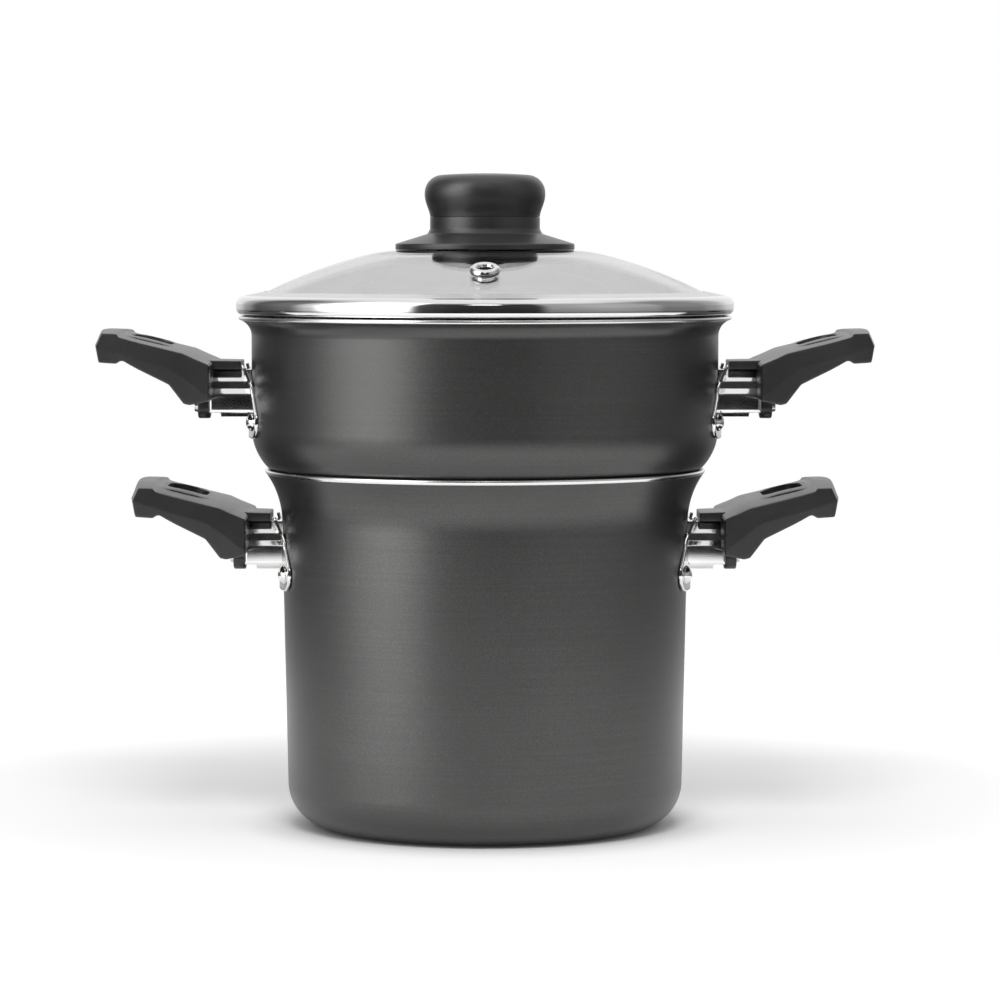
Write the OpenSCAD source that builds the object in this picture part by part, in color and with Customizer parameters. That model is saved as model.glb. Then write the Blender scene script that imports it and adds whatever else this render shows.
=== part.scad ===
// Couscous steamer: a tall pot, a steamer pan that nests in its flared mouth, and a domed glass lid.
// Millimetres, +Z up. The origin is the centre of the pot's base, and the handles lie along X.

/* [Pot] */
// Outer radius of the pot wall, just below its flare
pot_r = 101.5; // [95:0.5:106]
// Height at which the pot wall starts to flare
pot_flare_z = 152.5; // [120:0.5:180]
// Radius of the pot's flare, on the outside of the sheet
pot_flare_r = 42; // [38:0.5:44]
// Angle through which the flare turns
pot_flare_angle = 38; // [34:1:42]
// How much narrower the wall is at the base corner
pot_taper = 2.7; // [0:0.1:5]
// Outer radius of the pot's base corner
pot_corner_r = 22; // [12:0.5:28]
// Thickness of the pot's sheet
pot_t = 2; // [1.2:0.1:3]

/* [Steamer pan] */
// How much wider the steamer pan's wall is than the pot's
pan_step = 15; // [12.5:0.5:17.5]
// Height of the pan's straight wall
pan_wall_h = 46; // [36:0.5:70]
// Outer radius of the pan's base corner
pan_corner_r = 28; // [25:0.5:31]
// Radius of the pan's lip, on the outside of the sheet
pan_lip_r = 8.5; // [6:0.5:10]
// Angle through which the lip turns
pan_lip_angle = 78; // [65:1:88]
// Thickness of the pan's sheet
pan_t = 2; // [1.2:0.1:3]
// Diameter of each steam hole
steam_hole_d = 5.5; // [3:0.1:7]
// Distance between rings of steam holes
steam_hole_pitch = 13.5; // [10:0.5:18]
// Number of rings of steam holes round the centre hole
steam_rings = 5; // [1:1:5]

/* [Lid] */
// How far the lid's band stands out past the pan's lip
band_overhang = 0.9; // [0.2:0.1:3]
// Height of the band, without the shoulder's slope
band_h = 10.4; // [9:0.1:16]
// Thickness of the band's sheet
band_t = 0.6; // [0.4:0.05:0.8]
// Outer radius of the band's top shoulder
shoulder_r = 4; // [2.5:0.1:5]
// Outer radius of the band's bottom corner
band_corner_r = 3.3; // [2:0.1:4]
// Width of the band's upper leg on the glass
band_leg_w = 9.6; // [6.6:0.1:15.6]
// How far the band's skirt reaches down into the pan
skirt_h = 4.5; // [3:0.1:8]
// Radius of the band's folded hem
hem_r = 1; // [0.9:0.05:1.5]
// Thickness of the glass
glass_t = 4; // [3:0.1:5]
// Radius of the glass dome's upper surface
dome_r = 243; // [225:1:300]
// Radius of the flat seat at the middle of the glass
seat_r = 40; // [36:0.5:44]
// Radius of the curve between the seat and the dome
seat_blend_r = 81; // [60:1:110]
// How much the glass drops across its clamped edge
glass_edge_drop = 2; // [0.5:0.1:3]

/* [Steam vent] */
// Distance of the steam vent's middle inside the band's leg
vent_in = 23; // [16:0.5:44]
// Outer diameter of the vent's ring
vent_d = 15; // [13:0.1:18]
// Diameter of the vent's opening
vent_bore_d = 6.4; // [4:0.1:7]
// Height of the vent's ring above the glass
vent_h = 3.8; // [2.5:0.1:5]

/* [Knob] */
// Radius of the knob's skirt
skirt_r = 44.7; // [40:0.1:52]
// Thickness of the skirt at its edge
skirt_t = 3; // [2:0.1:4]
// Rise of the skirt from its edge to the neck
skirt_rise = 5.2; // [3:0.1:8]
// Radius of the knob's neck
neck_r = 27.4; // [22:0.1:29]
// Radius of the fillet between the skirt and the neck
neck_fillet_r = 2.5; // [1:0.1:4]
// Height of the neck above the glass
neck_h = 16.3; // [15:0.1:22]
// Radius of the grip at its widest
grip_r = 30.1; // [29.5:0.1:34]
// Height of the grip above the neck
grip_h = 21.8; // [18:0.1:28]
// Radius of the grip's top edge
grip_edge_r = 9; // [6:0.1:10]
// How much the grip's top is domed
crown = 0.8; // [0.2:0.1:2]
// Radius of the soft washer under the glass
gasket_r = 26.3; // [20:0.1:30]
// Thickness of the soft washer
gasket_t = 1.5; // [1:0.1:3]
// Radius of the cup washer under the soft washer
cup_r = 10; // [8:0.1:13]
// Height of the cup washer
cup_h = 1.9; // [1.4:0.1:3]
// Radius of the knob's screw
knob_screw_r = 2.5; // [2:0.1:3]
// Radius of the grip's stem, which passes through the base and holds the insert
stem_r = 6.8; // [6:0.1:8]

/* [Handles] */
// Width of each handle, along the pan's wall
handle_w = 106; // [92:1:118]
// Width of each handle at its tip
handle_tip_w = 101; // [88:1:114]
// Reach of the handle from its root to its tip corners
handle_reach = 55; // [50:0.5:60]
// How far the tip bulges past its corners
handle_bulge = 3.5; // [1:0.1:5]
// Gap between the pan's wall and the handle's root
handle_gap = 18.3; // [18:0.1:21]
// The same gap on the pot
pot_handle_gap = 15.8; // [15.5:0.1:19]
// Height of the handle's root edge below the pan's lip
handle_drop = 23.4; // [22:0.1:24]
// Height of the pot handle's root edge below the pot's rim
pot_handle_drop = 22.8; // [22:0.1:28]
// Width of the finger slot, along the pan's wall
slot_w = 36; // [28:0.5:44]
// Depth of the finger slot, away from the pan
slot_d = 20; // [16:0.5:22]

/* [Brackets] */
// Thickness of the bracket's steel
bracket_t = 1.5; // [1:0.1:2]
// Width of the bracket's neck
neck_w = 40; // [34:0.5:46]
// Height of the bracket's neck
bracket_neck_h = 23.4; // [22:0.1:24]
// Outer corner radius of the bracket's neck
neck_corner_r = 5; // [3:0.1:6]
// Height of the neck's wider lower half
neck_step_h = 12.5; // [11:0.1:16]
// How much the neck's upper half is set in on each side
neck_step_w = 2.5; // [1:0.1:4]
// Half the distance between the two rivets
rivet_place = 25; // [24:0.1:28]
// Radius of the plate's round ears
ear_r = 8.3; // [7:0.1:10]
// How far the plate's top edge leans out from the wall
plate_lean = 4; // [1:0.1:5]
// Radius of a rivet's shank
rivet_r = 2.5; // [2:0.1:3]
// Radius of a rivet's head
rivet_head_r = 4.6; // [4:0.1:5.5]
// Height of a rivet's round head
rivet_head_h = 2.9; // [2:0.1:3.5]

/* [Hidden] */

// Clearances and overruns
seat_clear = 0.3;
bore_clear = 0.1;
bed_clear = 0.1;
skirt_clear = 0.4;
over = 5;

// Colours
coat = "dimgray";
steel = "silver";
bakelite = "#2b2b2d";

// Arc facets
arc_steps = 10;
round_fn = 72;
hole_fn = 32;

// Shares of the handle's top face: where its slope starts and ends, along the reach and up the tip
handle_top_shares = [[0.235, 0.385], [0.827, 0.885]];

// Pot places
pot_base_r = pot_r - pot_taper - pot_corner_r;
pot_flare_x = pot_r + pot_flare_r;
pot_rim_in = [
    pot_flare_x - (pot_flare_r + pot_t) * cos(pot_flare_angle),
    pot_flare_z + (pot_flare_r + pot_t) * sin(pot_flare_angle)
];
pot_rim_z = pot_rim_in.y;
function pot_wall_r(z) = pot_r - pot_taper * (pot_flare_z - z) / (pot_flare_z - pot_corner_r);

// The pan's corner rests on the pot's flare or on its rim, whichever it meets first
pan_r = pot_r + pan_step;
pan_corner_x = pan_r - pan_corner_r;
flare_reach = pan_corner_r + pot_flare_r + pot_t + seat_clear;
rim_reach = pan_corner_r + seat_clear;
pan_corner_z = max(
    pot_flare_z + sqrt(flare_reach * flare_reach - pow(pot_flare_x - pan_corner_x, 2)),
    pot_rim_in.y + sqrt(rim_reach * rim_reach - pow(pot_rim_in.x - pan_corner_x, 2))
);
pan_base_z = pan_corner_z - pan_corner_r;
pan_wall_z = pan_corner_z + pan_wall_h;
pan_lip_x = pan_r + pan_lip_r;
pan_lip_end = [
    pan_lip_x - pan_lip_r * cos(pan_lip_angle),
    pan_wall_z + pan_lip_r * sin(pan_lip_angle)
];
pan_rim_z = pan_wall_z + (pan_lip_r + pan_t) * sin(pan_lip_angle);

// Lid places
lid_z = pan_rim_z + seat_clear;
band_r = pan_lip_end.x + band_overhang;
skirt_out_r = pan_r - pan_t - skirt_clear;
glass_r = band_r - band_t - shoulder_r + bed_clear;
band_leg_r = glass_r - band_leg_w;
edge_slope = glass_edge_drop / band_leg_w;
edge_angle = atan(edge_slope);
glass_edge_z = lid_z + band_h + glass_edge_drop / 2 - band_t;
dome_z = glass_edge_z - sqrt(dome_r * dome_r - band_leg_r * band_leg_r);
blend_angle = asin(seat_r / (dome_r - seat_blend_r));
seat_z = dome_z + (dome_r - seat_blend_r) * cos(blend_angle) + seat_blend_r;
glass_under_z = seat_z - glass_t;
dome_edge_angle = asin(band_leg_r / dome_r);

// Knob places
knob_z = seat_z + bed_clear;
grip_z = knob_z + neck_h;
knob_wall = 3;
knob_dish = 0.4;
edge_soft = 0.5;
insert_r = 4.5;
insert_len = 12;
insert_lift = 1.5;
insert_z = knob_z + insert_lift;
cup_z = glass_under_z - gasket_t;
screw_head_z = cup_z - cup_h;
screw_head_r = 2 * knob_screw_r;
screw_head_h = 1.3 * knob_screw_r;
screw_len = insert_z + insert_len - screw_head_z + knob_screw_r;
stem_drop = grip_z - insert_z + edge_soft;
blind_clear = 1;
blind_h = screw_len + screw_head_z - grip_z + blind_clear;
cup_land = 1;

// Vent places
vent_place = band_leg_r - vent_in;
vent_tilt = asin(vent_place / dome_r);
vent_wall = 1.4;
vent_lip_t = 1.2;
vent_lip_edge_t = 0.9;
vent_barrel_r = vent_bore_d / 2 + vent_wall;
vent_lip_r = 0.43 * vent_d;

// Bracket places, measured from the handle's root edge
neck_top_drop = 3.4;
neck_bottom_drop = neck_top_drop + bracket_neck_h;
neck_reach = 2.1;
notch_len = 6;
notch_h = 2.3;
ear_drop = 29.1;
plate_bend_drop = 13.6;
plate_top_drop = 4.6;
screw_drop = 22.6;
screw_r = 1.75;
screw_cap_r = 2.6;
screw_cap_h = 1.8;
nut_half = 2.7;
nut_t = 3.2;
tab_r = 5.6;
tab_start = 2.3;
tab_end = 8.6;
shield_rise = 0.7;
shield_reach = 13.5;

// Handle profile as shares of its reach and of its tip height, from the root's upper edge
handle_tip_h = 15.6;
handle_root_h = 18;
handle_profile_shares = [
    [0, 0], handle_top_shares[0], handle_top_shares[1], [0.85, 0.985], [0.945, 1], [1, 0.59], [0.973, 0.065],
    [0.855, 0.03], [0.81, 0.115], [0.778, 0.115], [0.355, -0.62], [0.225, -1.22], [0.17, -1.263],
    [0, -1.13]
];
handle_top_run = handle_top_shares[1] - handle_top_shares[0];
pad_angle = atan2(handle_top_run.y * handle_tip_h, handle_top_run.x * handle_reach);
pad_rise = 0.8;
pad_margin = 4;
pad_w = 62;
slot_centre_share = 0.565;

// Basic functions
function unit(v) = v / norm(v);
function right_of(v) = [v.y, -v.x];
function mitre(a, b) = let (m = unit(a + b)) m / (m * a);
function step(p, i) = right_of(unit(p[i + 1] - p[i]));
function beside(p, t) = [
    for (i = [0 : len(p) - 1])
        let (a = step(p, max(i - 1, 0)), b = step(p, min(i, len(p) - 2)))
        p[i] + t * mitre(a, b)
];
function flip(p) = [for (i = [len(p) - 1 : -1 : 0]) p[i]];
function arc(c, r, a0, a1, first = 0) = [
    for (i = [first : arc_steps])
        let (a = a0 + (a1 - a0) * i / arc_steps)
        c + r * [cos(a), sin(a)]
];

// A sheet of thickness t that lies to the right of a path, turned about Z
module turned_sheet(path, t) {
    rotate_extrude($fn = round_fn)
        polygon(concat(path, flip(beside(path, t))));
}

// Pot outline, from the rim down the outside to the middle of the base
function pot_path() = concat(
    arc([pot_flare_x, pot_flare_z], pot_flare_r, 180 - pot_flare_angle, 180),
    arc([pot_base_r, pot_corner_r], pot_corner_r, 0, -90),
    [[0, 0]]
);

// Pan outline, from the lip down the outside to the middle of the base
function pan_path() = concat(
    arc([pan_lip_x, pan_wall_z], pan_lip_r, 180 - pan_lip_angle, 180),
    arc([pan_corner_x, pan_corner_z], pan_corner_r, 0, -90),
    [[0, pan_base_z]]
);

module steam_holes() {
    translate([0, 0, pan_base_z - over])
        cylinder(r = steam_hole_d / 2, h = pan_t + 2 * over, $fn = hole_fn);
    for (ring = [1 : steam_rings], i = [0 : 6 * ring - 1])
        rotate([0, 0, 60 * i / ring])
            translate([ring * steam_hole_pitch, 0, pan_base_z - over])
                cylinder(r = steam_hole_d / 2, h = pan_t + 2 * over, $fn = hole_fn);
}

// Places its children at both rivets of both brackets, with +Z pointing out of the wall
module at_rivets(wall_r, z) {
    for (side = [0, 180], turn = [-1, 1])
        rotate([0, 0, side + turn * asin(rivet_place / wall_r)])
            translate([0, 0, z])
                rotate([0, 90, 0])
                    children();
}

module rivet_holes(wall_r, z) {
    at_rivets(wall_r, z)
        translate([0, 0, wall_r - over])
            cylinder(r = rivet_r + bore_clear, h = 2 * over, $fn = hole_fn);
}

// A flat inner head, a shank and a round outer head, as one solid of revolution
module rivet(plate_r, inside_r) {
    inner = sqrt(inside_r * inside_r - rivet_head_r * rivet_head_r) - bed_clear;
    outer = plate_r + bed_clear + bracket_t;
    ball = (rivet_head_r * rivet_head_r + rivet_head_h * rivet_head_h) / (2 * rivet_head_h);
    rise = asin((ball - rivet_head_h) / ball);
    rotate_extrude($fn = hole_fn)
        polygon(concat(
            [[0, inner - rivet_head_h / 3], [0.8 * rivet_head_r, inner - rivet_head_h / 3]],
            [[rivet_head_r, inner], [rivet_r, inner], [rivet_r, outer]],
            arc([0, outer + rivet_head_h - ball], ball, rise, 90)
        ));
}

module rivets(plate_r, inside_r, z) {
    color(steel)
        at_rivets(plate_r, z)
            rivet(plate_r, inside_r);
}

// Plate outline in the YZ plane: two round ears joined below the neck, and a tab up to the lean
module plate_window(root_z) {
    ear_z = root_z - ear_drop;
    top_z = root_z - plate_top_drop;
    rotate([90, 0, 90])
        linear_extrude(height = 2 * handle_reach + pan_r + over) {
            for (turn = [-1, 1])
                translate([turn * rivet_place, ear_z])
                    circle(r = ear_r, $fn = round_fn);
            translate([-rivet_place, ear_z - ear_r])
                square([2 * rivet_place, 2 * ear_r]);
            polygon([
                [-rivet_place - 0.75 * ear_r, ear_z + 0.66 * ear_r],
                [rivet_place + 0.75 * ear_r, ear_z + 0.66 * ear_r],
                [neck_w / 2 + bracket_t, root_z - plate_bend_drop + bracket_t],
                [neck_w / 2 - bracket_t, top_z],
                [-neck_w / 2 + bracket_t, top_z],
                [-neck_w / 2 - bracket_t, root_z - plate_bend_drop + bracket_t]
            ]);
        }
}

module round_box(w, h, r) {
    translate([-w / 2 + r, 0])
        square([w - 2 * r, h]);
    translate([-w / 2, r])
        square([w, h - 2 * r]);
    for (x = [-w / 2 + r, w / 2 - r], y = [r, h - r])
        translate([x, y])
            circle(r = r, $fn = round_fn);
}

// Section of the neck: a wide lower half and a narrower upper half, both grown by one margin
module neck_section(grow) {
    r = neck_corner_r + grow;
    translate([0, -grow]) {
        round_box(neck_w + 2 * grow, neck_step_h + 2 * grow, r);
        round_box(neck_w - 2 * neck_step_w + 2 * grow, bracket_neck_h + 2 * grow, r);
    }
}

// Stamped steel bracket: a plate that follows the wall, and a hollow neck with a closed end
module bracket(wall_r, gap, root_z) {
    plate_r = wall_r + bed_clear;
    bend_z = root_z - plate_bend_drop;
    end_x = wall_r + gap + neck_reach;
    plate = [
        [plate_r + plate_lean, root_z - plate_top_drop + over],
        [plate_r + plate_lean, root_z - plate_top_drop],
        [plate_r, bend_z],
        [plate_r, root_z - ear_drop - ear_r - over]
    ];
    color(steel)
        difference() {
            union() {
                intersection() {
                    rotate_extrude($fn = 2 * round_fn)
                        polygon(concat(plate, flip(beside(plate, -bracket_t))));
                    plate_window(root_z);
                }
                difference() {
                    translate([plate_r - over, 0, root_z - neck_bottom_drop])
                        rotate([90, 0, 90])
                            linear_extrude(height = end_x - plate_r + over)
                                neck_section(0);
                    cylinder(r = plate_r, h = 2 * root_z, $fn = 2 * round_fn);
                }
            }
            translate([plate_r - over, 0, root_z - neck_bottom_drop])
                rotate([90, 0, 90])
                    linear_extrude(height = end_x - plate_r + over - bracket_t)
                        neck_section(-bracket_t);
            translate([end_x - notch_len, -neck_w, root_z - neck_bottom_drop - over])
                cube([notch_len + over, 2 * neck_w, notch_h + over]);
            translate([end_x - 2 * over, 0, root_z - screw_drop])
                rotate([0, 90, 0])
                    cylinder(r = screw_r + bore_clear, h = 4 * over, $fn = hole_fn);
            rivet_holes(wall_r, root_z - ear_drop);
        }
}

// Plan of the handle: a trapezium with a bulging tip
module handle_plan() {
    w = handle_w / 2;
    tip = handle_tip_w / 2;
    bulge_r = (tip * tip + handle_bulge * handle_bulge) / (2 * handle_bulge);
    intersection() {
        polygon([
            [0, -w], [handle_reach + handle_bulge, -tip], [handle_reach + handle_bulge, tip], [0, w]
        ]);
        translate([handle_reach + handle_bulge - bulge_r, 0])
            circle(r = bulge_r, $fn = 4 * round_fn);
    }
}

// Moulded handle: the side profile cut to the plan, with a raised pad round its finger slot,
// a shield over the neck, a pocket that takes the neck's end, and a lug for the screw
module handle(wall_r, gap, root_z) {
    root_x = wall_r + gap;
    scaled = [
        for (s = handle_profile_shares)
            [s.x * (handle_reach + (s.x > 0.9 ? handle_bulge : 0)), s.y * handle_tip_h]
    ];
    slot_x = slot_centre_share * handle_reach;
    shield_w = neck_w - 2 * neck_step_w;
    pad_z = handle_top_shares[0].y * handle_tip_h
        + (slot_x - handle_top_shares[0].x * handle_reach) * tan(pad_angle);
    color(bakelite)
        translate([root_x, 0, root_z])
            difference() {
                union() {
                    intersection() {
                        rotate([90, 0, 0])
                            linear_extrude(height = handle_w + over, center = true)
                                polygon(scaled);
                        translate([0, 0, -2 * handle_tip_h])
                            linear_extrude(height = 4 * handle_tip_h)
                                handle_plan();
                    }
                    translate([slot_x, 0, pad_z])
                        rotate([0, -pad_angle, 0])
                            translate([0, 0, -pad_rise])
                                linear_extrude(height = 2 * pad_rise)
                                    slot_shape(slot_d + 2 * pad_margin, pad_w);
                    translate([-shield_reach, -shield_w / 2, -neck_top_drop + bed_clear])
                        cube([shield_reach + tab_end, shield_w, neck_top_drop - bed_clear + shield_rise]);
                    translate([tab_start, 0, -screw_drop])
                        rotate([90, 0, 90])
                            linear_extrude(height = tab_end - tab_start) {
                                circle(r = tab_r, $fn = round_fn);
                                translate([-tab_r, 0])
                                    square([2 * tab_r, screw_drop - handle_root_h + over]);
                            }
                }
                translate([slot_x, 0, -2 * handle_tip_h])
                    linear_extrude(height = 4 * handle_tip_h)
                        slot_shape(slot_d, slot_w);
                translate([-shield_reach - over, 0, -neck_bottom_drop])
                    rotate([90, 0, 90])
                        linear_extrude(height = shield_reach + over + neck_reach + bore_clear)
                            neck_section(bed_clear);
                translate([-over, 0, -screw_drop])
                    rotate([0, 90, 0])
                        cylinder(r = screw_r + bore_clear, h = tab_end + 2 * over, $fn = hole_fn);
            }
}

// A rounded oblong, d deep along X and w wide along Y
module slot_shape(d, w) {
    r = 0.42 * d;
    rotate([0, 0, 90])
        translate([0, -d / 2])
            round_box(w, d, r);
}

module handle_screws(wall_r, gap, root_z) {
    head_x = wall_r + gap + tab_end;
    shank = tab_end - neck_reach + bracket_t + nut_t + screw_r;
    color(steel)
        for (side = [0, 180])
            rotate([0, 0, side])
                translate([head_x, 0, root_z - screw_drop])
                    rotate([0, 90, 0]) {
                        cylinder(r1 = screw_cap_r, r2 = 0.8 * screw_cap_r, h = screw_cap_h, $fn = hole_fn);
                        translate([0, 0, -shank])
                            cylinder(r = screw_r, h = shank, $fn = hole_fn);
                    }
}

module handle_nuts(wall_r, gap, root_z) {
    end_x = wall_r + gap + neck_reach - bracket_t;
    color(steel)
        for (side = [0, 180])
            rotate([0, 0, side])
                translate([end_x - nut_t, 0, root_z - screw_drop])
                    rotate([0, 90, 0])
                        linear_extrude(height = nut_t)
                            difference() {
                                square([2 * nut_half, 2 * nut_half], center = true);
                                circle(r = screw_r + bore_clear / 2, $fn = hole_fn);
                            }
}

// The pot's wall tapers, so its plates stand on the widest ring that they cover
pot_root_z = pot_rim_z - pot_handle_drop;
pan_root_z = pan_rim_z - handle_drop;
pot_rivet_z = pot_root_z - ear_drop;
pan_rivet_z = pan_root_z - ear_drop;
pot_plate_r = pot_wall_r(pot_root_z - plate_bend_drop);
pot_inside_r = pot_wall_r(pot_rivet_z - rivet_head_r) - pot_t;

module pot_body() {
    color(coat)
        difference() {
            turned_sheet(pot_path(), pot_t);
            rivet_holes(pot_plate_r, pot_rivet_z);
        }
}

module pan_body() {
    color(coat)
        difference() {
            turned_sheet(pan_path(), pan_t);
            steam_holes();
            rivet_holes(pan_r, pan_rivet_z);
        }
}

// Glass outline along its upper surface, from the clamped edge to the middle
function glass_path() = concat(
    [[glass_r, glass_edge_z - glass_edge_drop]],
    arc([0, dome_z], dome_r, 90 - dome_edge_angle, 90 - blend_angle),
    arc([seat_r, seat_z - seat_blend_r], seat_blend_r, 90 - blend_angle, 90, 1),
    [[0, seat_z]]
);

module at_vent() {
    translate([0, 0, dome_z])
        rotate([vent_tilt, 0, 0])
            translate([0, 0, dome_r])
                children();
}

module lid_glass() {
    color("lightsteelblue", 0.4)
        difference() {
            rotate_extrude($fn = 2 * round_fn)
                polygon(concat(glass_path(), flip(beside(glass_path(), -glass_t))));
            translate([0, 0, glass_under_z - over])
                cylinder(r = knob_screw_r + 2 * bore_clear, h = glass_t + 2 * over, $fn = hole_fn);
            at_vent()
                translate([0, 0, -glass_t - over])
                    cylinder(r = vent_barrel_r + bore_clear, h = glass_t + 2 * over, $fn = hole_fn);
        }
}

// Band outline on its outer side, from the leg on the glass, over the shoulder, down the wall,
// along the seat, and down and up the folded skirt
function band_path() = let (
    bed = band_t + bed_clear,
    leg_z = glass_edge_z + bed / cos(edge_angle),
    wall_x = band_r - shoulder_r,
    turn = wall_x + shoulder_r * sin(edge_angle),
    wall_top = leg_z - edge_slope * (turn - band_leg_r) - shoulder_r * cos(edge_angle),
    hem_x = skirt_out_r - hem_r,
    under = glass_edge_z - glass_t / cos(edge_angle) - edge_slope * (hem_x - hem_r - band_leg_r)
) concat(
    [[band_leg_r, leg_z]],
    arc([wall_x, wall_top], shoulder_r, 90 - edge_angle, 0),
    arc([band_r - band_corner_r, lid_z + band_corner_r], band_corner_r, 0, -90),
    arc([skirt_out_r + hem_r, lid_z - hem_r], hem_r, 90, 180),
    arc([hem_x, lid_z - skirt_h + hem_r], hem_r, 0, -180),
    [[hem_x - hem_r, under - bed_clear]]
);

module lid_band() {
    color(steel)
        turned_sheet(band_path(), band_t);
}

// Pressed steel eyelet: a thick round ring above the glass, a barrel through it and a rolled lip
module steam_vent() {
    ring_r = vent_h / 2;
    bore = vent_bore_d / 2;
    color(steel)
        at_vent()
            rotate_extrude($fn = round_fn)
                polygon(concat(
                    arc([vent_d / 2 - ring_r, bed_clear + ring_r], ring_r, -90, 90),
                    arc([bore + ring_r, bed_clear + ring_r], ring_r, 90, 180),
                    [[bore, -glass_t - bed_clear - vent_lip_t]],
                    [[vent_lip_r, -glass_t - bed_clear - vent_lip_edge_t]],
                    [[vent_lip_r, -glass_t - bed_clear], [vent_barrel_r, -glass_t - bed_clear]],
                    [[vent_barrel_r, bed_clear]]
                ));
}

// Knob base: a dished skirt and a hollow neck with a hole for the grip's stem
module knob_base() {
    fillet_z = skirt_t + skirt_rise;
    color(bakelite)
        translate([0, 0, knob_z])
            rotate_extrude($fn = 2 * round_fn)
                polygon(concat(
                    [[stem_r + bore_clear, neck_h], [stem_r + bore_clear, neck_h - knob_wall]],
                    [[neck_r - knob_wall, neck_h - knob_wall], [neck_r - knob_wall, skirt_t]],
                    [[neck_r, skirt_t - edge_soft], [skirt_r - knob_wall, knob_dish]],
                    [[skirt_r - knob_wall, 0], [skirt_r - edge_soft, 0], [skirt_r, edge_soft]],
                    [[skirt_r, skirt_t - edge_soft], [skirt_r - 2 * edge_soft, skirt_t]],
                    arc([neck_r + neck_fillet_r, fillet_z + neck_fillet_r], neck_fillet_r, 255, 180),
                    [[neck_r, neck_h - edge_soft], [neck_r - edge_soft, neck_h]]
                ));
}

// Knob grip: a bulb with a nearly flat top, and a stem with a stepped hole for insert and screw
module knob_grip() {
    belly_shares = [[0.12, 0.06], [0.5, 0.25], [0.93, 0.41]];
    color(bakelite)
        translate([0, 0, grip_z])
            rotate_extrude($fn = 2 * round_fn)
                polygon(concat(
                    [[0, grip_h], [0, blind_h], [knob_screw_r + bore_clear, blind_h]],
                    [[knob_screw_r + bore_clear, insert_z + insert_len + bed_clear - grip_z]],
                    [[insert_r + bore_clear, insert_z + insert_len + bed_clear - grip_z]],
                    [[insert_r + bore_clear, -stem_drop], [stem_r, -stem_drop], [stem_r, bed_clear]],
                    [[neck_r - edge_soft, bed_clear], [neck_r, edge_soft]],
                    [for (s = belly_shares) [neck_r + s.x * (grip_r - neck_r), s.y * grip_h]],
                    arc([grip_r - grip_edge_r, grip_h - crown - grip_edge_r], grip_edge_r, -5, 84),
                    [[0.4 * grip_r, grip_h - 0.15 * crown]]
                ));
}

module knob_insert() {
    color("goldenrod")
        translate([0, 0, insert_z])
            difference() {
                cylinder(r = insert_r, h = insert_len, $fn = round_fn);
                translate([0, 0, -over])
                    cylinder(r = knob_screw_r + bore_clear / 2, h = insert_len + 2 * over, $fn = hole_fn);
            }
}

module knob_gasket() {
    color("black")
        translate([0, 0, glass_under_z - gasket_t])
            difference() {
                cylinder(r = gasket_r, h = gasket_t, $fn = round_fn);
                translate([0, 0, -over])
                    cylinder(r = knob_screw_r + 2 * bore_clear, h = gasket_t + 2 * over, $fn = hole_fn);
            }
}

module knob_cup_washer() {
    color(steel)
        translate([0, 0, cup_z])
            rotate_extrude($fn = round_fn)
                polygon([
                    [knob_screw_r + bore_clear, 0], [knob_screw_r + bore_clear, -cup_h],
                    [screw_head_r + cup_land, -cup_h], [cup_r, -0.5 * cup_h], [cup_r, 0]
                ]);
}

module knob_screw() {
    color(steel)
        translate([0, 0, screw_head_z])
            rotate_extrude($fn = hole_fn)
                polygon([
                    [0, screw_len], [0, -screw_head_h], [0.7 * screw_head_r, -screw_head_h],
                    [screw_head_r, -0.4 * screw_head_h], [screw_head_r, 0], [knob_screw_r, 0],
                    [knob_screw_r, screw_len - edge_soft], [knob_screw_r - edge_soft, screw_len]
                ]);
}

module left() {
    rotate([0, 0, 180])
        children();
}

pot_body();
left() bracket(pot_plate_r, pot_handle_gap, pot_root_z);  // pot_bracket_left
bracket(pot_plate_r, pot_handle_gap, pot_root_z);  // pot_bracket_right
left() handle(pot_plate_r, pot_handle_gap, pot_root_z);  // pot_handle_left
handle(pot_plate_r, pot_handle_gap, pot_root_z);  // pot_handle_right
rivets(pot_plate_r, pot_inside_r, pot_rivet_z);  // pot_rivets
handle_screws(pot_plate_r, pot_handle_gap, pot_root_z);  // pot_handle_screws
handle_nuts(pot_plate_r, pot_handle_gap, pot_root_z);  // pot_handle_nuts
pan_body();
left() bracket(pan_r, handle_gap, pan_root_z);  // pan_bracket_left
bracket(pan_r, handle_gap, pan_root_z);  // pan_bracket_right
left() handle(pan_r, handle_gap, pan_root_z);  // pan_handle_left
handle(pan_r, handle_gap, pan_root_z);  // pan_handle_right
rivets(pan_r, pan_r - pan_t, pan_rivet_z);  // pan_rivets
handle_screws(pan_r, handle_gap, pan_root_z);  // pan_handle_screws
handle_nuts(pan_r, handle_gap, pan_root_z);  // pan_handle_nuts
lid_glass();
lid_band();
steam_vent();
knob_base();
knob_grip();
knob_insert();
knob_gasket();
knob_cup_washer();
knob_screw();
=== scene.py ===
"""Couscous steamer in Blender: smooth turned shells, moulded handles and their finishes.

Lengths are in millimetres, as in the CAD source, and become metres as a mesh is made. The camera,
the lamps and what the materials read are in metres from the start.
"""
import math

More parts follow.
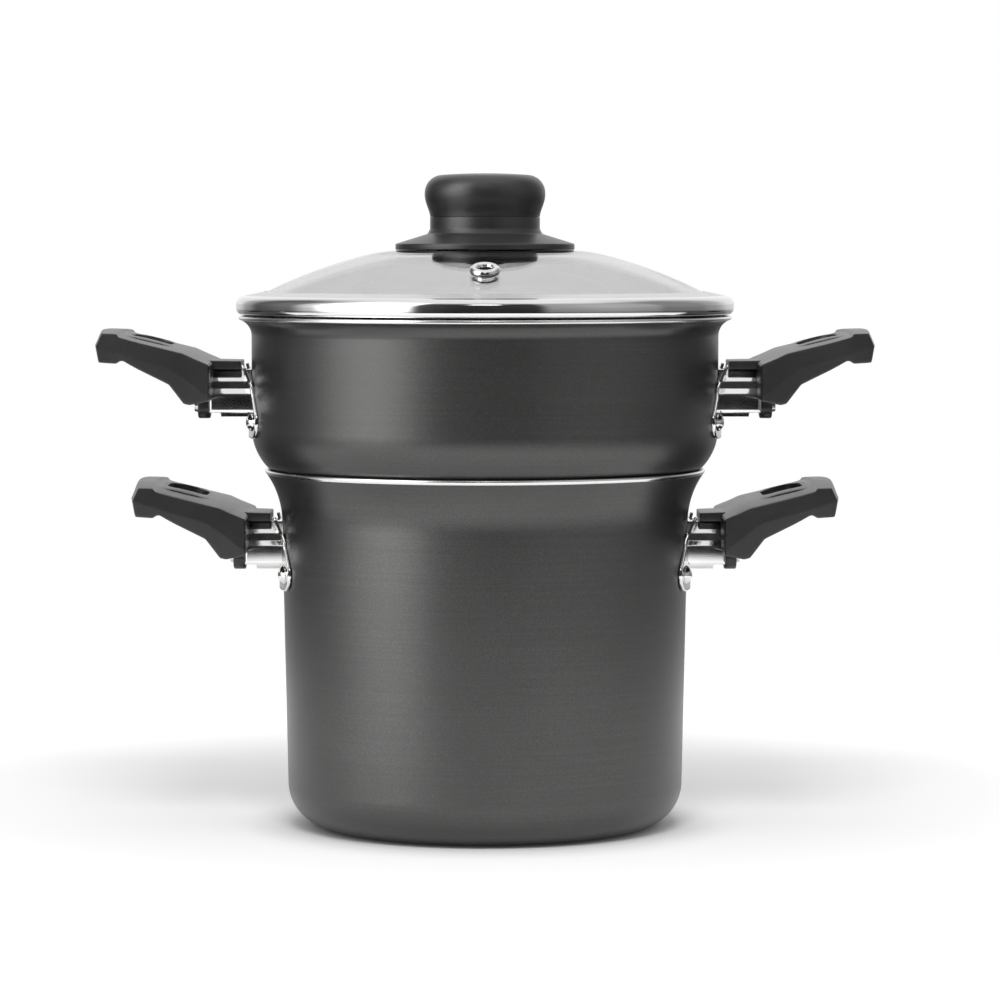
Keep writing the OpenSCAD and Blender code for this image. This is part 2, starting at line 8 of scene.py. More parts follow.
import bmesh
import bpy
import numpy as np
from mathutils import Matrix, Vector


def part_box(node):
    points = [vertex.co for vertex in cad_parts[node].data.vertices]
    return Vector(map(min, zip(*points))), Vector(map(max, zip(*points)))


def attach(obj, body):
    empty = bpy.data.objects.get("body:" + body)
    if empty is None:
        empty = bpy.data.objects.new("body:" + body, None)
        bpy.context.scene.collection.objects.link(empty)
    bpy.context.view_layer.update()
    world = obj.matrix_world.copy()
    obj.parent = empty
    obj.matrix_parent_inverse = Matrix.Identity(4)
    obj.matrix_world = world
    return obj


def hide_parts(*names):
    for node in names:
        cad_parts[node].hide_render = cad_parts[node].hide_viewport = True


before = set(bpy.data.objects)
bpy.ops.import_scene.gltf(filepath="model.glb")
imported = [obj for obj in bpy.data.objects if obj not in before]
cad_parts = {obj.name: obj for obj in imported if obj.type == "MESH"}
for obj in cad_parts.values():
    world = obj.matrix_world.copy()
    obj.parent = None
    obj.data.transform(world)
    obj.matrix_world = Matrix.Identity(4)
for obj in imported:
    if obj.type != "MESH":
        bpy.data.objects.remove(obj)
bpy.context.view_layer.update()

scene = bpy.context.scene
MM = 0.001


def low(node):
    """Lowest corner of a CAD node, in millimetres."""
    return np.array(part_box(node)[0]) / MM


def high(node):
    """Highest corner of a CAD node, in millimetres."""
    return np.array(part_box(node)[1]) / MM


# -------- camera
EYE = (0.0, -2.1, 0.294)
PITCH = 3.567
SENSOR, LENS, SHIFT_X, CLIP_START = 36, 151.2, 0.015, 0.05

eye = bpy.data.objects.new("camera", bpy.data.cameras.new("camera"))
scene.collection.objects.link(eye)
eye.location = EYE
eye.rotation_euler = (math.radians(90 - PITCH), 0, 0)
eye.data.sensor_width = SENSOR
eye.data.lens = LENS
eye.data.shift_x = SHIFT_X
eye.data.clip_start = CLIP_START
scene.camera = eye

# -------- shapes
# How a grid closes on itself: round the turn alone, round its section alone, or both ways
SPUN, TUBE, RING = (True, False), (False, True), (True, True)
# Degrees above which an edge stays sharp, on turned and cut pieces and on joined ones
SHARP, SHARP_JOINED = 40, 38


def arc(centre, radius, start, stop, steps=20):
    """Points centre + radius (cos a, sin a), for a from start to stop in degrees."""
    a = np.radians(np.linspace(start, stop, steps + 1))
    return np.array(centre) + radius * np.stack([np.cos(a), np.sin(a)], 1)


def rounded(points, radii, steps=6, closed=False):
    """A polyline whose corners are arcs: with unit steps a into a corner and b out of it, and turn
    t between them, the arc starts r tan(t/2) before the corner and has its centre at r / cos(t/2)
    along the bisector of b - a."""
    p = np.array(points, float)
    a = p - np.roll(p, 1, 0)
    b = np.roll(p, -1, 0) - p
    a /= np.maximum(np.linalg.norm(a, axis=1), 1e-9)[:, None]
    b /= np.maximum(np.linalg.norm(b, axis=1), 1e-9)[:, None]
    r = np.broadcast_to(np.array(radii, float), (len(p),))
    turn = np.arccos(np.clip((a * b).sum(1), -1, 1))
    sign = np.sign(a[:, 0] * b[:, 1] - a[:, 1] * b[:, 0])
    normal = np.stack([-a[:, 1], a[:, 0]], 1) * sign[:, None]
    centre = p - a * (r * np.tan(turn / 2))[:, None] + normal * r[:, None]
    t = np.linspace(0, 1, steps + 1)[None, :] * turn[:, None]
    ring = centre[:, None] - normal[:, None] * (r[:, None] * np.cos(t))[..., None] \
        + a[:, None] * (r[:, None] * np.sin(t))[..., None]
    if closed:
        return ring.reshape(-1, 2)
    return np.concatenate([p[:1], ring[1:-1].reshape(-1, 2), p[-1:]])


def beside(path, t):
    """The path moved t to its left: each point along the mitre of its two neighbouring normals."""
    p = np.asarray(path, float)
    d = np.diff(p, axis=0)
    n = np.stack([-d[:, 1], d[:, 0]], 1) / np.linalg.norm(d, axis=1)[:, None]
    n = np.concatenate([n[:1], n, n[-1:]])
    m = n[:-1] + n[1:]
    return p + t * m * 2 / (m * m).sum(1)[:, None]


def turned(profile, segments=192):
    """Surface of revolution: (r cos a, r sin a, z) for a profile of (r, z) points."""
    p = np.asarray(profile, float)
    a = np.linspace(0, 2 * np.pi, segments, endpoint=False)[:, None]
    return np.stack([p[:, 0] * np.cos(a), p[:, 0] * np.sin(a), p[:, 1] + 0 * a], -1)


def pin(radius, start, end, segments):
    """A cylinder on the Z axis, closed at both ends."""
    return turned([[0, start], [radius, start], [radius, end], [0, end]], segments)


def prism(outline, low_end, high_end):
    """Walls of a closed outline between two heights, with both ends drawn in to a point."""
    p = np.asarray(outline, float)
    c = p.mean(0)
    rings = [(c + 0 * p, low_end), (p, low_end), (p, high_end), (c + 0 * p, high_end)]
    return np.stack([np.column_stack([q, np.full(len(q), h)]) for q, h in rings])


def across_x(x, outline):
    """A flat (y, z) outline set at one x."""
    return np.column_stack([np.full(len(outline), x), outline])


def oblong(depth, width, radius, steps=10):
    """Points round a rounded oblong, depth along X and width along Y."""
    d, w = depth / 2, width / 2
    return rounded([(d, -w), (d, w), (-d, w), (-d, -w)], radius, steps, closed=True)


def soft_box(lowest, highest, radius, steps=6):
    """A box grown from its shrunken core by a ball: sign(n)(h - r) + r n over all directions n."""
    a, b = np.array(lowest, float), np.array(highest, float)
    h = (b - a) / 2 - radius
    lat = np.radians(np.concatenate([np.linspace(-90, 0, steps), np.linspace(0, 90, steps)]))
    lon = np.radians(np.concatenate([q + np.linspace(0, 90, steps) for q in (0, 90, 180, 270)]))
    n = np.stack([np.cos(lat)[:, None] * np.cos(lon), np.cos(lat)[:, None] * np.sin(lon),
                  np.sin(lat)[:, None] + 0 * lon], -1)
    sx = np.repeat([1, -1, -1, 1], steps)
    sy = np.repeat([1, 1, -1, -1], steps)
    sz = np.repeat([-1, 1], steps)[:, None]
    side = np.stack(np.broadcast_arrays(sx, sy, sz), -1)
    return (a + b) / 2 + side * h + radius * n


def poled(grid):
    """Adds the middle of the first and last rows as poles, so that flat ends are closed."""
    first = np.broadcast_to(grid[0].mean(0), grid[0].shape)
    last = np.broadcast_to(grid[-1].mean(0), grid[-1].shape)
    return np.concatenate([first[None], grid, last[None]])


def placed(name, mesh, finish, sharp):
    """An object at the origin for a mesh, shaded smooth with its sharp edges kept."""
    mesh.shade_smooth()
    mesh.set_sharp_from_angle(angle=math.radians(sharp))
    for material in finish:
        mesh.materials.append(material)
    piece = bpy.data.objects.new(name, mesh)
    scene.collection.objects.link(piece)
    return piece


def weld(mesh):
    """Merges points closer than a micrometre, which closes poles and seams."""
    bm = bmesh.new()
    bm.from_mesh(mesh)
    bmesh.ops.remove_doubles(bm, verts=bm.verts, dist=1e-6)
    bmesh.ops.dissolve_degenerate(bm, edges=bm.edges, dist=1e-7)
    bm.to_mesh(mesh)
    bm.free()


def make(name, parts, finish):
    """One object from a list of grids. Each part is a grid of points (rows, columns, 3), how it
    closes on itself and, where it has more than one finish, a slot number for each column step.
    Doubles are merged, and a grid whose volume is negative is turned inside out, so that every
    face looks outwards."""
    points, faces, slots, count = [], [], [], 0
    for grid, (wraps_rows, wraps_columns), *marks in parts:
        g = np.asarray(grid, float)
        n, m = g.shape[:2]
        i = np.arange(n if wraps_rows else n - 1)[:, None]
        j = np.arange(m if wraps_columns else m - 1)[None, :]
        here, ahead, beyond = i * m, ((i + 1) % n) * m, (j + 1) % m
        corners = np.broadcast_arrays(here + j, ahead + j, ahead + beyond, here + beyond)
        quads = np.stack(corners, -1).reshape(-1, 4)
        v = g.reshape(-1, 3)
        a, b, c = v[np.concatenate([quads[:, [0, 1, 2]], quads[:, [0, 2, 3]]])].transpose(1, 0, 2)
        if np.einsum("ij,ij->i", a, np.cross(b, c)).sum() < 0:
            quads = quads[:, ::-1]
        points.append(v * MM)
        faces.append(quads + count)
        slot_of = marks[0] if marks else np.zeros(j.shape[1], int)
        slots.append(np.broadcast_to(slot_of, (i.shape[0], j.shape[1])).reshape(-1))
        count += len(v)
    mesh = bpy.data.meshes.new(name)
    mesh.from_pydata(np.concatenate(points).tolist(), [], np.concatenate(faces).tolist())
    mesh.polygons.foreach_set("material_index", np.concatenate(slots).astype(np.int32))
    weld(mesh)
    return placed(name, mesh, finish, SHARP)


def cut(target, parts):
    """Takes the volume inside some closed grids away from the target."""
    cutter = make("cutter", parts, [])
    mod = target.modifiers.new("cut", "BOOLEAN")
    mod.operation, mod.object, mod.solver = "DIFFERENCE", cutter, "EXACT"
    bpy.context.view_layer.update()
    result = target.evaluated_get(bpy.context.evaluated_depsgraph_get())
    mesh = bpy.data.meshes.new_from_object(result)
    target.modifiers.clear()
    mesh.set_sharp_from_angle(angle=math.radians(SHARP))
    target.data = mesh
    bpy.data.objects.remove(cutter)


def values_of(items, key, width, kind):
    """One attribute of all the points, corners or faces of a mesh, as an array."""
    values = np.empty(len(items) * width, kind)
    items.foreach_get(key, values)
    return values


def joined(name, objects, place, finish):
    """One mesh from the meshes of several objects, moved by a function of the whole point
    array."""
    points, corners, sizes, count = [], [], [], 0
    for mesh in (part.data for part in objects):
        local = values_of(mesh.vertices, "co", 3, np.float32).reshape(-1, 3)
        points.append(local.astype(float) / MM)
        corners.append(values_of(mesh.loops, "vertex_index", 1, np.int32) + count)
        sizes.append(values_of(mesh.polygons, "loop_total", 1, np.int32))
        count += len(mesh.vertices)
    ends = np.cumsum(np.concatenate(sizes))
    faces = np.split(np.concatenate(corners), ends[:-1])
    mesh = bpy.data.meshes.new(name)
    mesh.from_pydata((place(np.concatenate(points)) * MM).tolist(), [], faces)
    return placed(name, mesh, [finish], SHARP_JOINED)


# -------- materials
class Net:
    """The nodes of one material or world. Each helper adds a node and gives back its output."""

    def __init__(self, owner):
        owner.use_nodes = True
        self.nodes, self.links = owner.node_tree.nodes, owner.node_tree.links

    def node(self, kind, inputs=(), **settings):
        """A node with its settings, and a value or a link for each input that is named."""
        node = self.nodes.new("ShaderNode" + kind)
        for setting, value in settings.items():
            setattr(node, setting, value)
        for socket, value in dict(inputs).items():
            if isinstance(value, bpy.types.NodeSocket):
                self.links.new(value, node.inputs[socket])
            else:
                node.inputs[socket].default_value = value
        return node

    def math(self, operation, *values):
        """One operation on numbers or outputs."""
        return self.node("Math", enumerate(values), operation=operation).outputs[0]

    def add(self, a, b, share=1.0):
        """a + share b."""
        return self.math("MULTIPLY_ADD", b, share, a)

    def length(self, vector):
        """The length of a vector."""
        return self.node("VectorMath", {0: vector}, operation="LENGTH").outputs["Value"]

    def span(self, value, low_out, high_out, low_in=0.3, high_in=0.7, **settings):
        """Carries low_in to low_out and high_in to high_out."""
        inputs = {"Value": value, "From Min": low_in, "From Max": high_in,
                  "To Min": low_out, "To Max": high_out}
        return self.node("MapRange", inputs, **settings).outputs["Result"]

    def ramp(self, value, stops, interpolation="LINEAR"):
        """A colour for each value, between (position, colour) stops."""
        node = self.node("ValToRGB", {"Fac": value})
        node.color_ramp.interpolation = interpolation
        marks = node.color_ramp.elements
        marks[0].position, marks[0].color = stops[0]
        marks[1].position, marks[1].color = stops[-1]
        for position, colour in stops[1:-1]:
            marks.new(position).color = colour
        return node.outputs["Color"]


class Finish(Net):
    """A procedural material on Object coordinates: texture nodes feed one Principled shader."""

    def __init__(self, name, **sockets):
        self.material = bpy.data.materials.new(name)
        super().__init__(self.material)
        self.shader = self.nodes["Principled BSDF"]
        for socket, value in sockets.items():
            self.shader.inputs[socket.replace("_", " ")].default_value = value
        self.place = self.node("TexCoord").outputs["Object"]

    def stretched(self, scale):
        """Object coordinates times a scale for each axis."""
        return self.node("Mapping", {"Vector": self.place, "Scale": scale}).outputs["Vector"]

    def noise(self, scale, detail, rough, vector=None):
        """Noise of a scale per metre, on Object coordinates or on stretched ones."""
        inputs = {"Scale": scale, "Detail": detail, "Roughness": rough,
                  "Vector": vector or self.place}
        return self.node("TexNoise", inputs).outputs["Fac"]

    def facing(self):
        """0 where the surface is seen square on, and 1 where it is seen edge on."""
        return self.node("LayerWeight", {"Blend": 0.5}).outputs["Facing"]

    def away(self, near, far, near_out, far_out):
        """A value that goes from one number to another between two distances from the Z axis."""
        return self.span(self.length(self.stretched((1, 1, 0))), near_out, far_out, near, far)

    def bump(self, value, depth, strength):
        """Turns a value into relief of a depth in metres."""
        inputs = {"Strength": strength, "Distance": depth, "Height": value}
        self.feed(self.node("Bump", inputs).outputs["Normal"], "Normal")

    def feed(self, value, socket):
        """Links a value to the shader."""
        self.links.new(value, self.shader.inputs[socket])


def grey(level, warm=0.0):
    """A grey, with red raised and blue lowered by the share warm."""
    return (level * (1 + warm), level, level * (1 - warm), 1)


def coated():
    """Non-stick coating on spun aluminium: a fine speckled grain, and faint turning lines."""
    f = Finish("coated_aluminium", Metallic=0.7, Specular_IOR_Level=0.5)
    grain = f.noise(1500, 3, 0.6)
    drift = f.noise(14, 2, 0.5)
    lines = f.noise(60, 2, 0.5, f.stretched((0.15, 0.15, 14)))
    mixed = f.add(f.add(grain, drift, 0.35), lines, 0.25)
    f.feed(f.ramp(mixed, [(0.45, grey(0.080, 0.010)), (0.8, grey(0.095, 0.012)),
                          (1.0, grey(0.120, 0.012))]), "Base Color")
    f.feed(f.span(f.add(grain, lines, 0.5), 0.30, 0.39, 0.4, 1.1), "Roughness")
    f.bump(grain, 0.00006, 0.6)
    return f.material


def bare():
    """Machined aluminium edge, where the coating is turned off: bright, with fine circular
    lines."""
    f = Finish("machined_edge", Metallic=1.0)
    lines = f.noise(300, 2, 0.5, f.stretched((0.1, 0.1, 10)))
    f.feed(f.ramp(lines, [(0.3, grey(0.80)), (0.7, grey(0.92))]), "Base Color")
    f.feed(f.span(lines, 0.12, 0.22), "Roughness")
    return f.material


def polished():
    """Polished stainless steel: faint cloudiness and buffing lines."""
    f = Finish("polished_steel", Metallic=1.0)
    cloud = f.noise(45, 3, 0.55)
    lines = f.noise(400, 2, 0.6, f.stretched((0.12, 0.12, 6)))
    f.feed(f.ramp(cloud, [(0.3, grey(0.72, 0.01)), (0.7, grey(0.84))]), "Base Color")
    f.feed(f.span(f.add(cloud, lines, 0.4), 0.07, 0.15, 0.4, 1.0), "Roughness")
    f.bump(lines, 0.00002, 0.3)
    return f.material


def rolled():
    """The band's stainless steel: polished outside, and satin on the strip that lies on the
    glass."""
    f = Finish("rolled_steel", Metallic=1.0)
    lines = f.noise(400, 2, 0.6, f.stretched((0.12, 0.12, 6)))
    f.feed(f.ramp(lines, [(0.3, grey(0.74, 0.01)), (0.7, grey(0.82))]), "Base Color")
    f.feed(f.add(f.away(0.1185, 0.1200, 0.42, 0.07), lines, 0.05), "Roughness")
    f.bump(lines, 0.00002, 0.3)
    return f.material


def blued():
    """Heat-blackened steel of the cup washer under the glass: dark, with a faint cloud."""
    f = Finish("blackened_steel", Metallic=0.9)
    cloud = f.noise(500, 3, 0.6)
    f.feed(f.ramp(cloud, [(0.3, grey(0.045)), (0.7, grey(0.070))]), "Base Color")
    f.feed(f.span(cloud, 0.30, 0.42), "Roughness")
    f.bump(cloud, 0.00003, 0.4)
    return f.material


def plated():
    """Zinc-plated screws and nuts: duller than the polished steel, slightly mottled."""
    f = Finish("plated_steel", Metallic=1.0)
    cloud = f.noise(700, 3, 0.6)
    f.feed(f.ramp(cloud, [(0.3, grey(0.50, 0.01)), (0.7, grey(0.66, 0.02))]), "Base Color")
    f.feed(f.span(cloud, 0.22, 0.38), "Roughness")
    f.bump(cloud, 0.00004, 0.4)
    return f.material


def brass():
    """Pressed brass insert, slightly dull."""
    f = Finish("insert_brass", Metallic=1.0)
    cloud = f.noise(900, 2, 0.5)
    f.feed(f.ramp(cloud, [(0.3, (0.62, 0.42, 0.15, 1)), (0.7, (0.75, 0.53, 0.22, 1))]),
           "Base Color")
    f.feed(f.span(cloud, 0.25, 0.40), "Roughness")
    return f.material


def bakelite():
    """Moulded phenolic plastic: near black, with a soft orange-peel skin and a faint speckle."""
    f = Finish("bakelite", Specular_IOR_Level=0.6)
    skin = f.noise(900, 2, 0.5)
    speck = f.noise(2600, 2, 0.6)
    drift = f.noise(30, 2, 0.5)
    f.feed(f.ramp(f.add(speck, drift, 0.6), [(0.5, grey(0.022)), (0.85, grey(0.029)),
                                             (1.0, grey(0.042))]), "Base Color")
    f.feed(f.span(f.add(skin, drift, 0.5), 0.30, 0.40, 0.45, 1.0), "Roughness")
    f.bump(f.add(skin, speck, 0.5), 0.00006, 0.5)
    return f.material


def rubber():
    """Black silicone washer: matt, with a fine moulded grain."""
    f = Finish("soft_washer", Specular_IOR_Level=0.4)
    grain = f.noise(1800, 2, 0.6)
    f.feed(f.ramp(grain, [(0.3, grey(0.085)), (0.7, grey(0.115))]), "Base Color")
    f.feed(f.span(grain, 0.55, 0.75), "Roughness")
    f.bump(grain, 0.00006, 0.5)
    return f.material


def glass():
    """Tempered soda-lime glass: clear grey, with a painted shade that darkens it where it is seen
    edge on, and a slight wave from pressing."""
    f = Finish("tempered_glass", Transmission_Weight=1.0, IOR=1.5, Specular_IOR_Level=0.5)
    wave = f.noise(18, 1, 0.4)
    # painted shade: the colour darkens towards where the glass is seen edge on, standing in for the
    # darker things seen through it there
    edge = f.span(f.facing(), 0.0, 0.9, 0.72, 0.97)
    f.feed(f.ramp(f.add(edge, wave, 0.1), [(0.0, grey(0.81)), (0.1, grey(0.78)),
                                           (1.0, grey(0.24))]), "Base Color")
    f.feed(f.span(wave, 0.0, 0.015), "Roughness")
    f.bump(wave, 0.0006, 0.25)
    return f.material


COAT, BARE, STEEL, ROLLED, BLUED = coated(), bare(), polished(), rolled(), blued()
PLATED, BRASS, BAKELITE, RUBBER, GLASS = plated(), brass(), bakelite(), rubber(), glass()

for finish, nodes in (
    (COAT, ("pot_body", "pan_body")),
    (STEEL, ("pot_rivets", "pan_rivets", "pot_bracket_left", "pot_bracket_right",
             "pan_bracket_left", "pan_bracket_right", "steam_vent")),
    (ROLLED, ("lid_band",)),
    (BLUED, ("knob_cup_washer",)),
    (PLATED, ("pot_handle_screws", "pan_handle_screws", "pot_handle_nuts", "pan_handle_nuts",
              "knob_screw")),
    (BRASS, ("knob_insert",)),
    (BAKELITE, ("pot_handle_left", "pot_handle_right", "pan_handle_left", "pan_handle_right",
                "knob_base", "knob_grip")),
    (RUBBER, ("knob_gasket",)),
    (GLASS, ("lid_glass",)),
):
    for node in nodes:
        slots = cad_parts[node].data.materials
        slots.clear()
        slots.append(finish)

# -------- pot and pan shells
SHEET_T = 2.0
# Clearance left between two pieces that lie on each other
BED = 0.1
# Distance from a flat base's extra ring to the start of its corner
RING_INSET = 0.6


def shell(name, flare, flare_r, flare_angle, corner, corner_r, base_z):
    """A spun vessel. Its outline runs out along the inside from the axis, round its base corner,
    up the wall and out along its flare, half a circle round the cut edge, and back down the
    outside. The edge takes the bare finish, and a ring just short of each corner keeps the base
    flat."""
    steps, cap_steps = 28, 10
    mid_r = flare_r + SHEET_T / 2
    edge = 180 - flare_angle + math.degrees(SHEET_T / 2 / mid_r)
    mid = arc(flare, mid_r, edge, edge, 0)[0]
    ring_r = corner[0] - RING_INSET
    inner = np.concatenate([
        [[0, base_z + SHEET_T], [ring_r, base_z + SHEET_T]],
        arc(corner, corner_r - SHEET_T, -90, 0, steps),
        arc(flare, flare_r + SHEET_T, 180, edge, steps),
    ])
    cap = arc(mid, SHEET_T / 2, edge, edge - 180, cap_steps)
    outer = np.concatenate([
        arc(flare, flare_r, edge, 180, steps), arc(corner, corner_r, 0, -90, steps),
        [[ring_r, base_z], [0, base_z]],
    ])
    profile = np.concatenate([inner, cap[1:-1], outer])
    marks = np.zeros(len(profile) - 1, int)
    marks[len(inner) - 2:len(inner) + len(cap) - 1] = 1
    return make(name, [(turned(profile), SPUN, marks)], [COAT, BARE])


pot_top = high("pot_body")[2]
POT_R, POT_TAPER, POT_CORNER_R = 101.5, 2.7, 22.0
POT_FLARE_Z, POT_FLARE_R, POT_FLARE_ANGLE = 152.5, 42.0, 38.0


def pot_wall_r(z):
    """Radius of the pot's wall, which narrows by its taper from the flare down to the corner."""
    return POT_R - POT_TAPER * (POT_FLARE_Z - z) / (POT_FLARE_Z - POT_CORNER_R)


pot_shell = shell("pot_shell", (POT_R + POT_FLARE_R, POT_FLARE_Z), POT_FLARE_R, POT_FLARE_ANGLE,
                  (POT_R - POT_TAPER - POT_CORNER_R, POT_CORNER_R), POT_CORNER_R, 0)
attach(pot_shell, "pot")
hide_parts("pot_body")

pan_base = low("pan_body")[2]
pan_rim = high("pan_body")[2]
PAN_R, PAN_CORNER_R, PAN_WALL_H, LIP_R, LIP_ANGLE = 116.5, 28.0, 46.0, 8.5, 78.0
pan_bend_z = pan_base + PAN_CORNER_R
pan_shell = shell("pan_shell", (PAN_R + LIP_R, pan_bend_z + PAN_WALL_H), LIP_R, LIP_ANGLE,
                  (PAN_R - PAN_CORNER_R, pan_bend_z), PAN_CORNER_R, pan_base)

HOLE_R, HOLE_PITCH, HOLE_RINGS, DRILL_BELOW, DRILL_ABOVE = 2.75, 13.5, 5, 4, 6
in_ring = 6 * np.arange(1, HOLE_RINGS + 1)
hole_r = np.repeat(in_ring / 6, in_ring) * HOLE_PITCH
hole_a = np.concatenate([np.arange(k) * (2 * np.pi / k) for k in in_ring])
hole_x = np.append(0, hole_r * np.cos(hole_a))
hole_y = np.append(0, hole_r * np.sin(hole_a))
drill = pin(HOLE_R, pan_base - DRILL_BELOW, pan_base + DRILL_ABOVE, 20)
cut(pan_shell, [(drill + [x, y, 0], SPUN) for x, y in zip(hole_x, hole_y)])
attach(pan_shell, "steamer_pan")
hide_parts("pan_body")

# -------- lid
# The lid stands SEAT_GAP above the pan's rim, and its skirt SKIRT_GAP inside the pan's wall
SEAT_GAP, SKIRT_GAP = 0.3, 0.4
BAND_T, BAND_H, SHOULDER_R, BAND_CORNER_R = 0.6, 10.4, 4.0, 3.3
LEG_W, SKIRT_H, HEM_R = 9.6, 4.5, 1.0
GLASS_T, EDGE_BULGE, DOME_R, SEAT_R, SEAT_BLEND_R = 4.0, 0.5, 243.0, 40.0, 81.0
# How far the glass falls under the band's leg, and where the vent stands inside of it
EDGE_DROP, VENT_INSET = 2.0, 23
VENT_BORE_R, KNOB_BORE_R, BORE_BELOW, BORE_ABOVE = 4.7, 2.7, 9, 4

lid_z = pan_rim + SEAT_GAP
band_r = high("lid_band")[0]
skirt_r = PAN_R - SHEET_T - SKIRT_GAP
glass_r = band_r - BAND_T - SHOULDER_R + BED
leg_r = glass_r - LEG_W
edge_slope = EDGE_DROP / LEG_W
edge_angle = math.atan(edge_slope)
edge_z = lid_z + BAND_H + EDGE_DROP / 2 - BAND_T
dome_z = edge_z - math.sqrt(DOME_R ** 2 - leg_r ** 2)
dome_edge = math.degrees(math.asin(leg_r / DOME_R))
blend = math.asin(SEAT_R / (DOME_R - SEAT_BLEND_R))
seat_z = dome_z + (DOME_R - SEAT_BLEND_R) * math.cos(blend) + SEAT_BLEND_R


def pane():
    """The pressed glass. Its upper face is a sloping clamped edge, the dome and a round blend into
    the flat seat. The lower face is the same path moved by the thickness, and the rim between them
    bulges by half a sine wave."""
    blend_from = 90 - math.degrees(blend)
    top = np.concatenate([
        [[glass_r - EDGE_BULGE, edge_z - EDGE_DROP + EDGE_BULGE * edge_slope]],
        arc((0, dome_z), DOME_R, 90 - dome_edge, blend_from, 40),
        arc((SEAT_R, seat_z - SEAT_BLEND_R), SEAT_BLEND_R, blend_from, 90, 16)[1:],
        [[0, seat_z]],
    ])
    under = beside(top, GLASS_T)
    under[-1, 0] = 0
    t = np.linspace(0, 1, 9)[:, None]
    rim = under[0] + (top[0] - under[0]) * t + np.sin(np.pi * t) * [EDGE_BULGE, 0]
    return turned(np.concatenate([under[::-1], rim[1:-1], top]), 256)


def vent_frame(grid):
    """Turns a grid about X by the vent's tilt and carries it out along the dome's radius."""
    tilt = math.asin((leg_r - VENT_INSET) / DOME_R)
    c, s = math.cos(tilt), math.sin(tilt)
    turn = np.array([[1, 0, 0], [0, c, -s], [0, s, c]])
    return (grid + [0, 0, DOME_R]) @ turn.T + [0, 0, dome_z]


lid_pane = make("lid_pane", [(pane(), SPUN)], [GLASS])
cut(lid_pane, [(vent_frame(pin(VENT_BORE_R, -BORE_BELOW, BORE_ABOVE, 48)), SPUN),
               (pin(KNOB_BORE_R, seat_z - BORE_BELOW, seat_z + BORE_ABOVE, 48), SPUN)])
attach(lid_pane, "lid")
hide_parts("lid_glass")


def band_profile():
    """Outline of the rolled steel band on its outer side: the leg on the glass, the round
    shoulder, the wall, the bottom corner, the seat on the pan's lip, and a folded skirt. The inner
    side is the same path moved by the sheet's thickness."""
    leg_z = edge_z + (BAND_T + BED) / math.cos(edge_angle)
    wall_x = band_r - SHOULDER_R
    shoulder_x = wall_x + SHOULDER_R * math.sin(edge_angle)
    wall_top = leg_z - edge_slope * (shoulder_x - leg_r) - SHOULDER_R * math.cos(edge_angle)
    hem_x = skirt_r - HEM_R
    hem_top = edge_z - GLASS_T / math.cos(edge_angle) - edge_slope * (hem_x - HEM_R - leg_r)
    path = np.concatenate([
        [[leg_r, leg_z]],
        arc((wall_x, wall_top), SHOULDER_R, 90 - math.degrees(edge_angle), 0, 18),
        arc((band_r - BAND_CORNER_R, lid_z + BAND_CORNER_R), BAND_CORNER_R, 0, -90, 18),
        arc((skirt_r + HEM_R, lid_z - HEM_R), HEM_R, 90, 180, 8),
        arc((hem_x, lid_z - SKIRT_H + HEM_R), HEM_R, 0, -180, 12),
        [[hem_x - HEM_R, hem_top - BED]],
    ])
    return np.concatenate([path, beside(path, -BAND_T)[::-1]])


lid_rim = make("lid_rim", [(turned(band_profile(), 256), RING)], [ROLLED])
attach(lid_rim, "lid")
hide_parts("lid_band")


def vent_profile():
    """Outline of the eyelet: a ring of half-circle section above the glass, a bore, and a rolled
    lip under it."""
    ring_out, ring_t, bore, barrel = 7.5, 1.9, 3.2, 4.6
    lip, lip_top, lip_bottom = 6.45, -4.1, -5.0
    return np.concatenate([
        arc((ring_out - ring_t, BED + ring_t), ring_t, -90, 90, 16),
        arc((bore + ring_t, BED + ring_t), ring_t, 90, 180, 10),
        [[bore, lip_bottom], [bore + 0.25, lip_bottom - 0.3], [lip - 0.2, lip_bottom],
         [lip, lip_bottom + 0.25], [lip, lip_top], [barrel, lip_top], [barrel, BED]],
    ])


eyelet = make("vent_eyelet", [(vent_frame(turned(vent_profile(), 96)), RING)], [STEEL])
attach(eyelet, "lid")
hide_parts("steam_vent")

# -------- knob
NECK_R, NECK_H, KNOB_SKIRT_R, KNOB_WALL = 27.4, 16.3, 44.7, 3
GRIP_R, GRIP_H, GRIP_EDGE_R, GRIP_EDGE_H = 30.1, 21.8, 9, 9.8
STEM_R, STEM_END, SOCKET_R, SOCKET_TOP, BORE_R, BORE_TOP = 6.8, -15.2, 4.6, 6.2, 2.6, 9.5
knob_z = seat_z + BED
grip_z = knob_z + NECK_H


def knob_base_profile():
    """Outline of the knob's base, closed, with a corner radius for each point: a hole for the
    grip's stem, a hollow below, a dished skirt with a thin round rim, and a soft step into the
    neck."""
    hollow_r, rim_r = NECK_R - KNOB_WALL, KNOB_SKIRT_R - KNOB_WALL
    corners = np.array([
        (STEM_R + BED, NECK_H, 0.1), (STEM_R + BED, NECK_H - KNOB_WALL, 0.3),
        (hollow_r, NECK_H - KNOB_WALL, 1), (hollow_r, KNOB_WALL, 0.5), (NECK_R, 2.5, 0.5),
        (rim_r, 0.4, 0.1), (rim_r, 0, 0.1), (KNOB_SKIRT_R, 0, 0.7), (KNOB_SKIRT_R, 3, 0.8),
        (NECK_R + 1.2, 8.0, 1.5), (NECK_R, 10.5, 1.5), (NECK_R, NECK_H, 0.2),
    ])
    return rounded(corners[:, :2], corners[:, 2], closed=True) + [0, knob_z]


